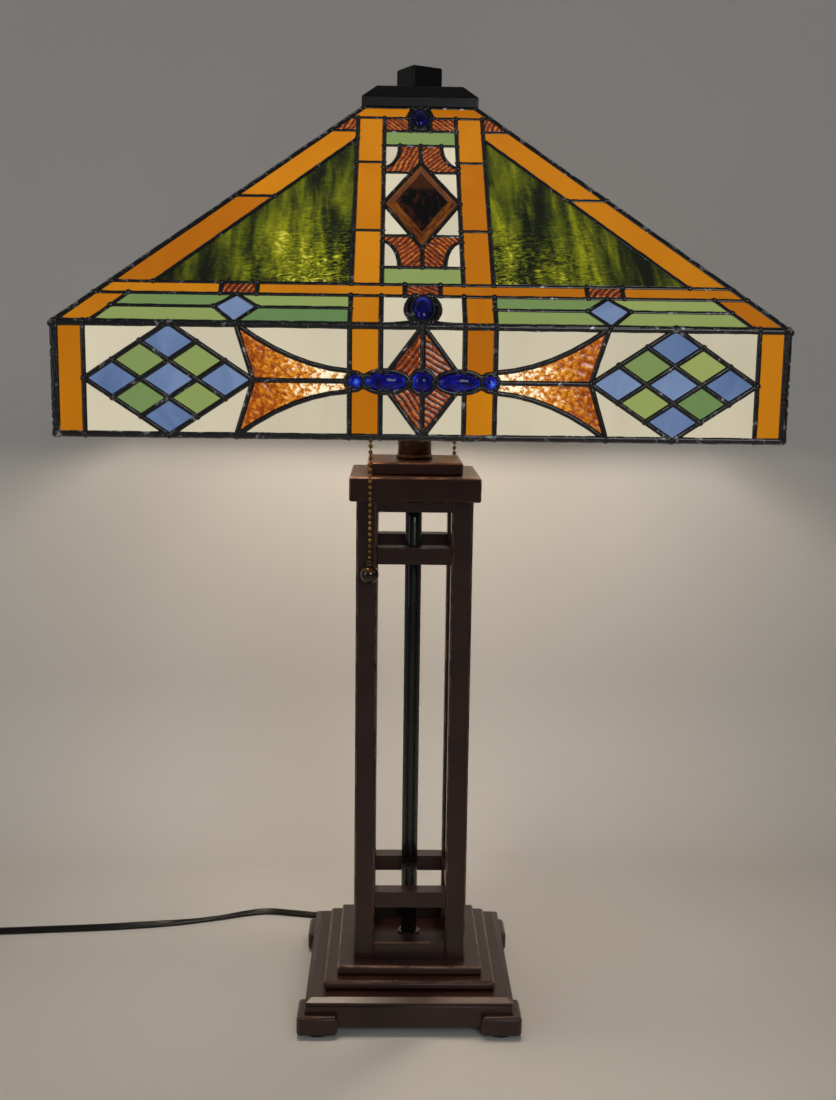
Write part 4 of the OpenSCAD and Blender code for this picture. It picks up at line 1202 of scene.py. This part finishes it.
mesh = bpy.data.meshes.new("pressed_jewels")
mesh.from_pydata(jewel_points, [], jewel_faces)
mesh.attributes.new("thin", "FLOAT", "POINT").data.foreach_set("value", glow_shares)
face_outwards(mesh, True, 1e-6)
pressed_jewels = link_piece("pressed_jewels", mesh)

cobalt_finish, tree, shader = new_finish("cobalt_glass_lit", roughness=0.04, ior=1.54, specular_ior_level=0.3)
swirl = noise_node(tree, object_place(tree), 150.0, 3.0, 1.5)
level = maths(tree, "ADD", attribute(tree, "thin")["Fac"],
              maths(tree, "MULTIPLY", maths(tree, "SUBTRACT", swirl.outputs["Fac"], 0.46), 0.9))
COBALT_STOPS = ((0.0, paint(4, 3, 26)), (0.3, paint(10, 10, 104)), (0.6, paint(22, 52, 190)),
                (1.0, paint(96, 160, 236)))
shine(tree, shader, ramp_colour(tree, level, COBALT_STOPS), 0.4, 0.8)
bump(tree, shader, swirl.outputs["Fac"], 0.15 * MM)
pressed_jewels.data.materials.append(cobalt_finish)
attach(pressed_jewels, "shade")
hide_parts("cobalt_jewels")
print("jewels:", len(mesh.polygons), "faces")

# %% Bevelled amber gem
GEM_BEVEL = 4.6
GEM_BACK, GEM_EDGE, GEM_TABLE, GEM_CROWN = -3.2, 0.0, 1.4, 1.75
gem_mesh = merged_copy("bevelled_jewels")
gem_points, gem_faces, gem_sheet = [], [], []
for part in loose_parts(gem_mesh):
    middle = sum(part, Vector()) / len(part)
    side = max(roof_sides, key=lambda s: middle.dot(s.normal))
    flat = [(p.dot(side.across) / MM, p.dot(side.up) / MM) for p in part]
    low_x, high_x = min(f[0] for f in flat), max(f[0] for f in flat)
    low_y, high_y = min(f[1] for f in flat), max(f[1] for f in flat)
    x, y = (low_x + high_x) / 2, (low_y + high_y) / 2
    half_x, half_y = (high_x - low_x) / 2, (high_y - low_y) / 2
    slant = math.hypot(half_x, half_y)
    table_x, table_y = half_x - GEM_BEVEL * slant / half_y, half_y - GEM_BEVEL * slant / half_x
    start = len(gem_points)
    layers = ((half_x, half_y, GEM_BACK), (half_x, half_y, GEM_EDGE), (table_x, table_y, GEM_TABLE))
    for w, h, z in layers:
        for across, up in ((w, 0), (0, h), (-w, 0), (0, -h)):
            gem_points.append(side.place @ (Vector((x + across, y + up, z)) * MM))
            gem_sheet += [across / half_x, up / half_y, z]
    gem_points.append(side.place @ (Vector((x, y, GEM_CROWN)) * MM))
    gem_sheet += [0, 0, GEM_CROWN]
    gem_faces.append([start + k for k in (3, 2, 1, 0)])
    for layer in range(len(layers) - 1):
        for k in range(4):
            n = (k + 1) % 4
            low, high = start + 4 * layer, start + 4 * layer + 4
            gem_faces.append([low + k, low + n, high + n, high + k])
    crown = start + 4 * len(layers)
    gem_faces += [[crown - 4 + k, crown - 4 + (k + 1) % 4, crown] for k in range(4)]
gem_mesh.free()
mesh = bpy.data.meshes.new("bevelled_gems")
mesh.from_pydata(gem_points, [], gem_faces)
mesh.attributes.new("sheet", "FLOAT_VECTOR", "POINT").data.foreach_set("vector", gem_sheet)
bevelled_gems = link_piece("bevelled_gems", mesh)

gem_finish, tree, shader = new_finish("amber_bevel", roughness=0.04, ior=1.52, specular_ior_level=0.3)
spot = attribute(tree, "sheet")["Vector"]
axes = add(tree, "ShaderNodeSeparateXYZ", {0: spot}).outputs
ring = maths(tree, "ADD", maths(tree, "ABSOLUTE", axes["X"]), maths(tree, "ABSOLUTE", axes["Y"]))
# The dark core carries painted reflections of the back facets: brown cloudy patches and a lighter top
facet_reflection = noise_node(tree, spot, 2.6, 2.0, 0.8)
border = spread(tree, ring, 0.72, 0.76)
reflection_height = maths(tree, "ADD", axes["Y"], maths(tree, "MULTIPLY", facet_reflection.outputs["Fac"], 0.3))
reflection_top = spread(tree, reflection_height, 0.4, 0.55)
reflection_patches = spread(tree, facet_reflection.outputs["Fac"], 0.5, 0.72)
core = mix_colour(tree, maths(tree, "MAXIMUM", maths(tree, "MULTIPLY", reflection_top, 0.75), reflection_patches),
                  paint(6, 3, 2), paint(74, 34, 14))
rim_tone = mix_colour(tree, spread(tree, facet_reflection.outputs["Fac"], 0.35, 0.65), paint(74, 34, 12),
                      paint(132, 74, 26))
lit = mix_colour(tree, border, core, rim_tone)
shine(tree, shader, lit, 0.2, 0.75)
fine = noise_node(tree, spot, 14.0)
bump(tree, shader, fine.outputs["Fac"], 0.06 * MM)
bevelled_gems.data.materials.append(gem_finish)
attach(bevelled_gems, "shade")
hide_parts("bevelled_jewels")
print("gems:", len(mesh.polygons), "faces")

# %% [markdown]
# ## Refining the frame's own parts
#
# A turned or milled part in the frame has the right shape, but its edges are knife sharp and its round faces
# are flat facets. A finer copy is made of each: its loose triangles are joined, sharp edges get a small round
# that catches the light as real cast metal does, and the round faces are shaded smooth while the flats stay
# flat. Every copy keeps its node's size and stands for it.

# %% Finer copies
CREASE = math.radians(28)


def finer(node, body, finish, ease=0.35, segments=2):
    """A copy of a node with eased edges and smooth round faces, which replaces it."""
    bm = merged_copy(node)
    bmesh.ops.recalc_face_normals(bm, faces=bm.faces)
    sharp = []
    for face in bm.faces:
        face.material_index = 0
    for edge in bm.edges:
        if len(edge.link_faces) != 2:
            continue
        angle = edge.calc_face_angle(0)
        if angle > CREASE:
            sharp.append(edge)
        elif angle > 0.02:
            for face in edge.link_faces:
                face.material_index = 1
    rounds = set()
    if ease:
        made = bmesh.ops.bevel(bm, geom=sharp, offset=ease * MM, offset_type="OFFSET", segments=segments,
                               profile=0.5, affect="EDGES", clamp_overlap=True, loop_slide=True)
        rounds = set(made["faces"])
    bmesh.ops.remove_doubles(bm, verts=bm.verts, dist=1e-6)
    bmesh.ops.recalc_face_normals(bm, faces=bm.faces)
    for face in bm.faces:
        face.smooth = face.material_index == 1 or face in rounds
        face.material_index = 0
    for edge in bm.edges:
        edge.smooth = len(edge.link_faces) == 2 and edge.calc_face_angle(0) < CREASE * 1.4
    mesh = bpy.data.meshes.new(node + "_finer")
    bm.to_mesh(mesh)
    bm.free()
    piece = link_piece(node + "_finer", mesh)
    piece.data.materials.append(finish)
    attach(piece, body)
    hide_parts(node)
    return piece


# %% [markdown]
# ## Mahogany bronze
#
# The stand is cast and welded metal with a dark red-brown plated finish, a little lighter where edges have
# been rubbed through. A node group works out the rubbed edges of a square block: it folds the block's four
# sides into one by taking sizes without their sign, then measures how near a point is to the top edge or a
# corner. Each part gives it its own half width and top, read from the frame.

# %% Edge wear and patina groups
wear_group, given, out = new_group(
    "square_edge_wear", [("Place", "Vector", (0, 0, 0)), ("Middle", "Float", 0.0), ("Half", "Float", 0.05),
                         ("Top", "Float", 0.02), ("Width", "Float", 0.0012)], [("Mask", "Float")])
tree = wear_group
unsigned = add(tree, "ShaderNodeVectorMath", {0: given["Place"]}, operation="ABSOLUTE").outputs[0]
folded = add(tree, "ShaderNodeSeparateXYZ", {0: unsigned}).outputs
across, along = (maths(tree, "ABSOLUTE", maths(tree, "SUBTRACT", folded[axis], given["Middle"]))
                 for axis in ("X", "Y"))
height = add(tree, "ShaderNodeSeparateXYZ", {0: given["Place"]}).outputs["Z"]
outer = maths(tree, "MAXIMUM", across, along)
inner = maths(tree, "MINIMUM", across, along)
limit = maths(tree, "SUBTRACT", given["Half"], given["Width"])
corner = maths(tree, "GREATER_THAN", inner, limit)
at_side = maths(tree, "GREATER_THAN", outer, limit)
at_top = maths(tree, "GREATER_THAN", height, maths(tree, "SUBTRACT", given["Top"], given["Width"]))
edge = maths(tree, "MAXIMUM", corner, maths(tree, "MULTIPLY", at_side, at_top))
ragged = noise_node(tree, given["Place"], 90.0, 4.0)
tree.links.new(maths(tree, "MULTIPLY", edge, spread(tree, ragged.outputs["Fac"], 0.42, 0.62)),
               out.inputs["Mask"])

patina_group, given, out = new_group(
    "brushed_patina", [("Place", "Vector", (0, 0, 0)), ("Dark", "Color", (0, 0, 0, 1)),
                       ("Warm", "Color", (1, 1, 1, 1)), ("Rubbed", "Color", (1, 1, 1, 1)),
                       ("Wear", "Float", 0.0)],
    [("Colour", "Color"), ("Roughness", "Float"), ("Height", "Float")])
tree = patina_group
cloud = noise_node(tree, given["Place"], 24.0, 5.0, roughness=0.6)
drawn = vectors(tree, "MULTIPLY", given["Place"], (1.0, 1.0, 0.12))
brushed = noise_node(tree, drawn, 700.0, 3.0)
tone = mix_colour(tree, spread(tree, cloud.outputs["Fac"], 0.3, 0.7), given["Dark"], given["Warm"])
tree.links.new(mix_colour(tree, given["Wear"], tone, given["Rubbed"]), out.inputs["Colour"])
satin = spread(tree, cloud.outputs["Fac"], 0.3, 0.7, 0.30, 0.42)
satin = maths(tree, "ADD", satin, spread(tree, brushed.outputs["Fac"], 0.3, 0.7, -0.03, 0.05))
tree.links.new(maths(tree, "SUBTRACT", satin, maths(tree, "MULTIPLY", given["Wear"], 0.08)),
               out.inputs["Roughness"])
tree.links.new(brushed.outputs["Fac"], out.inputs["Height"])


def bronze(name, node, dark, warm, rubbed, middle=0.0, half=None, metallic=0.35, coat=0.3, gloss=0.5):
    """Plated metal with rubbed edges, sized for one node of square plan."""
    low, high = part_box(node)
    material, tree, shader = new_finish(name, metallic=metallic, coat_weight=coat, coat_roughness=0.18,
                                        specular_ior_level=gloss)
    place = object_place(tree)
    wear = use_group(tree, wear_group, {"Place": place, "Middle": middle * MM, "Top": high.z,
                                        "Half": high.x if half is None else half * MM})["Mask"]
    look = use_group(tree, patina_group, {"Place": place, "Dark": dark, "Warm": warm, "Rubbed": rubbed,
                                          "Wear": wear})
    tree.links.new(look["Colour"], shader.inputs["Base Color"])
    tree.links.new(look["Roughness"], shader.inputs["Roughness"])
    bump(tree, shader, look["Height"], 0.05 * MM, 0.5)
    return material


# %% Stand
MAHOGANY = (paint(34, 16, 12), paint(54, 26, 19), paint(118, 84, 66))
POST_WIDE = 14.7
column_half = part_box("column_posts")[1].x / MM
post_middle = column_half - POST_WIDE / 2
FLAT_PARTS = (("base_tray", 0.5), ("base_feet", 0.4), ("tier_lower", 0.35), ("tier_upper", 0.3),
              ("cap_plate_large", 0.4), ("cap_plate_small", 0.35), ("top_rails", 0.0), ("middle_rails", 0.3),
              ("bottom_rails", 0.3))
record_slots = {}
for name, node in nodes.items():
    for material in node.data.materials:
        record_slots.setdefault(name, material.name.split(".")[0])

for node, ease in FLAT_PARTS:
    finish = bronze(node + "_bronze", node, *MAHOGANY)
    finer(node, "stand", finish, ease)
post_finish = bronze("column_posts_bronze", "column_posts", *MAHOGANY, middle=post_middle, half=POST_WIDE / 2)
finer("column_posts", "stand", post_finish, 0.3)
print("slots in the frame:", sorted(set(record_slots.values())))

# %% Vase cap and finial
CAP_TONES = (paint(8, 6, 6), paint(14, 11, 11), paint(70, 62, 54))
for node, body, ease in (("vase_cap", "shade", 0.45), ("finial", "finial", 0.35)):
    finish = bronze(node + "_bronze", node, *CAP_TONES, metallic=0.2, coat=0.0, gloss=0.28)
    finer(node, body, finish, ease)


# %% [markdown]
# ## Brass, steel and the hidden parts
#
# The electrical parts inside the shade are stamped brass and plated steel, seen from below. One function
# gives a metal its two tones, gloss and fine scratches, and another gives the dull stuffs, such as felt,
# card and cast iron, their mottle and grain.

# %% Metal and dull finishes
def metal(name, dark, light, roughness, metallic=1.0, grain=500.0, scratch=0.04, coat=0.0):
    material, tree, shader = new_finish(name, metallic=metallic, coat_weight=coat)
    place = object_place(tree)
    cloud = noise_node(tree, place, 60.0, 4.0)
    fine = noise_node(tree, place, grain, 3.0)
    tree.links.new(mix_colour(tree, spread(tree, cloud.outputs["Fac"], 0.3, 0.7), dark, light),
                   shader.inputs["Base Color"])
    tree.links.new(spread(tree, fine.outputs["Fac"], 0.3, 0.7, roughness * 0.8, roughness * 1.3),
                   shader.inputs["Roughness"])
    bump(tree, shader, fine.outputs["Fac"], scratch * MM, 0.6)
    return material


def dull(name, dark, light, roughness, grain, depth):
    material, tree, shader = new_finish(name, roughness=roughness, specular_ior_level=0.3)
    speck = noise_node(tree, object_place(tree), grain, 5.0, roughness=0.7)
    tree.links.new(mix_colour(tree, spread(tree, speck.outputs["Fac"], 0.3, 0.7), dark, light),
                   shader.inputs["Base Color"])
    bump(tree, shader, speck.outputs["Fac"], depth * MM)
    return material


stock = {
    "black_tube": metal("black_tube_lacquer", paint(16, 15, 15), paint(26, 24, 24), 0.28, 0.3, 400, 0.03, 0.4),
    "felt": dull("green_black_felt", paint(18, 22, 20), paint(40, 46, 42), 0.95, 1400, 0.3),
    "raw_iron": dull("cast_iron", paint(52, 50, 50), paint(92, 88, 84), 0.7, 320, 0.3),
    "black_plate": metal("black_steel_plate", paint(18, 18, 19), paint(32, 32, 33), 0.45, 0.5),
    "screw_steel": metal("zinc_plated_steel", paint(140, 140, 145), paint(180, 180, 182), 0.3),
    "plated_pipe": metal("plated_pipe", paint(150, 140, 110), paint(190, 178, 140), 0.25),
    "cluster_brass": metal("antique_brass", paint(96, 70, 36), paint(150, 114, 62), 0.28),
    "socket_brass": metal("stamped_brass", paint(150, 112, 52), paint(196, 156, 84), 0.2),
    "liner_card": dull("liner_card", paint(150, 130, 92), paint(186, 166, 124), 0.9, 600, 0.15),
    "switch_phenolic": dull("black_phenolic", paint(14, 12, 12), paint(28, 25, 24), 0.4, 900, 0.05),
    "bulb_screw": metal("bulb_base_alloy", paint(176, 176, 178), paint(206, 206, 206), 0.2),
    "chain_brass": metal("bead_chain_brass", paint(108, 84, 48), paint(176, 146, 92), 0.16),
    "ball_bronze": metal("pull_ball_bronze", paint(38, 28, 20), paint(66, 50, 34), 0.1, 0.9, 300, 0.02, 0.6),
    "worn_bronze": metal("copper_bronze", paint(38, 20, 13), paint(66, 37, 24), 0.3, 0.7),
    "blade_brass": metal("blade_brass", paint(170, 136, 66), paint(206, 172, 96), 0.2),
}
print("finishes:", len(stock))

# %% Round parts
ROUND_PARTS = ("centre_tube", "tube_washer", "neck_ring", "neck_tube", "cluster_body", "cluster_cover",
               "socket_cap_left", "socket_cap_right", "socket_shell_left", "socket_shell_right",
               "chain_guide_left", "chain_guide_right", "socket_liners", "switch_bodies")
for node in ROUND_PARTS:
    finer(node, "stand", stock.get(record_slots[node], stock["socket_brass"]), 0.15)
for side in ("left", "right"):
    finer("bulb_base_" + side, "bulb_" + side, stock["bulb_screw"], 0.2)
print({node: record_slots[node] for node in ROUND_PARTS})

# %% Bulbs
frosted, tree, shader = new_finish("frosted_bulb", roughness=0.35)
hot = noise_node(tree, object_place(tree), 30.0)
tree.links.new(mix_colour(tree, spread(tree, hot.outputs["Fac"], 0.4, 0.6), paint(255, 236, 200),
                          paint(255, 247, 226)), shader.inputs["Emission Color"])
shader.inputs["Base Color"].default_value = paint(246, 240, 226)
shader.inputs["Emission Strength"].default_value = 2.2
for side in ("left", "right"):
    globe = finer("bulb_glass_" + side, "bulb_" + side, frosted, 0)
    globe.visible_shadow = False

# %% [markdown]
# ## Bead chains and pulls
#
# Each switch hangs out a chain of brass beads on short dumb-bell links. A Geometry Nodes tree strings a bead
# on each point of a straight line and runs a thin wire through them. The length, pitch and count are its
# inputs, and the beads have few faces because there are so many.

# %% Bead chains
def chain_tree():
    tree, given, sockets = new_growth("bead_chain", (
        ("Bead", "Float", 0.00155), ("Wire", "Float", 0.0004), ("Pitch", "Float", 0.004),
        ("Count", "Int", 32)))
    drop = add(tree, "ShaderNodeCombineXYZ", {"Z": maths(tree, "MULTIPLY", given["Pitch"], -1.0)}).outputs[0]
    line = add(tree, "GeometryNodeMeshLine", {"Count": given["Count"], "Offset": drop}).outputs[0]
    bead = add(tree, "GeometryNodeMeshUVSphere", {"Segments": 12, "Rings": 8,
                                                "Radius": given["Bead"]}).outputs[0]
    beads = add(tree, "GeometryNodeInstanceOnPoints", {"Points": line, "Instance": bead}).outputs[0]
    wire = add(tree, "GeometryNodeMeshToCurve", {"Mesh": line}).outputs[0]
    ring = add(tree, "GeometryNodeCurvePrimitiveCircle", {"Resolution": 6, "Radius": given["Wire"]})
    wire = add(tree, "GeometryNodeCurveToMesh", {"Curve": wire, "Profile Curve": ring.outputs["Curve"],
                                                 "Fill Caps": True}).outputs[0]
    close_growth(tree, given, (wire, beads, given["Geometry"]))
    return tree, sockets


strand_tree, strand_sockets = chain_tree()
BEAD_PITCH = 4.0
BALL_STEPS = 24
COLLAR_SINK = 0.4
for side in ("left", "right"):
    low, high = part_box("pull_chain_" + side)
    bead = (high.x - low.x) / 2
    count = round(((high.z - low.z) - 2 * bead) / (BEAD_PITCH * MM)) + 1
    empty = bpy.data.meshes.new("start")
    mesh = grown("strand", empty, strand_tree, strand_sockets,
                 {"Bead": bead, "Pitch": BEAD_PITCH * MM, "Count": count, "Finish": stock["chain_brass"]})
    mesh.transform(Matrix.Translation(((low.x + high.x) / 2, (low.y + high.y) / 2, high.z - bead)))
    chain = link_piece("bead_chain_" + side, mesh)
    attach(chain, "pull_" + side)
    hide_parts("pull_chain_" + side)
    ball_low, ball_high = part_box("pull_ball_" + side)
    radius = (ball_high.x - ball_low.x) / 2 / MM
    neck = (ball_high.z - ball_low.z) / MM - 2 * radius
    profile = [(radius * math.sin(a), radius - radius * math.cos(a))
               for a in (math.pi * k / BALL_STEPS for k in range(BALL_STEPS - 1))]
    collar_z = 2 * radius - COLLAR_SINK
    profile += [(r, collar_z + z) for r, z in ((2.2, 0), (2.5, 0.4), (2.5, 1.4), (1.9, 1.7), (2.3, 2.1),
                                               (2.3, neck), (1.7, neck + 0.4), (0, neck + 0.4))]
    middle = Matrix.Translation(((ball_low.x + ball_high.x) / 2, (ball_low.y + ball_high.y) / 2, ball_low.z))
    ball = turned("pull_knob_" + side, profile, 40, middle)
    ball.data.materials.append(stock["ball_bronze"])
    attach(ball, "pull_" + side)
    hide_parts("pull_ball_" + side)
    print("chain", side, count, "beads")

# %% Finishes for the parts left as they are
cord_finish, tree, shader = new_finish("brown_vinyl", roughness=0.3, specular_ior_level=0.35)
dust = noise_node(tree, object_place(tree), 120.0, 4.0)
tree.links.new(mix_colour(tree, dust.outputs["Fac"], paint(8, 5, 4), paint(22, 14, 12)),
               shader.inputs["Base Color"])
bump(tree, shader, dust.outputs["Fac"], 0.08 * MM)
for piece in (flex, relief, plug):
    piece.data.materials.append(cord_finish)
for name, node in nodes.items():
    for slot in node.material_slots:
        kind = slot.material.name.split(".")[0] if slot.material else ""
        if kind in stock:
            slot.material = stock[kind]
left_plain = [name for name, node in nodes.items()
              if node.data.materials and node.data.materials[0].name in record_slots.values()]
print("nodes that keep their plain finish:", left_plain)
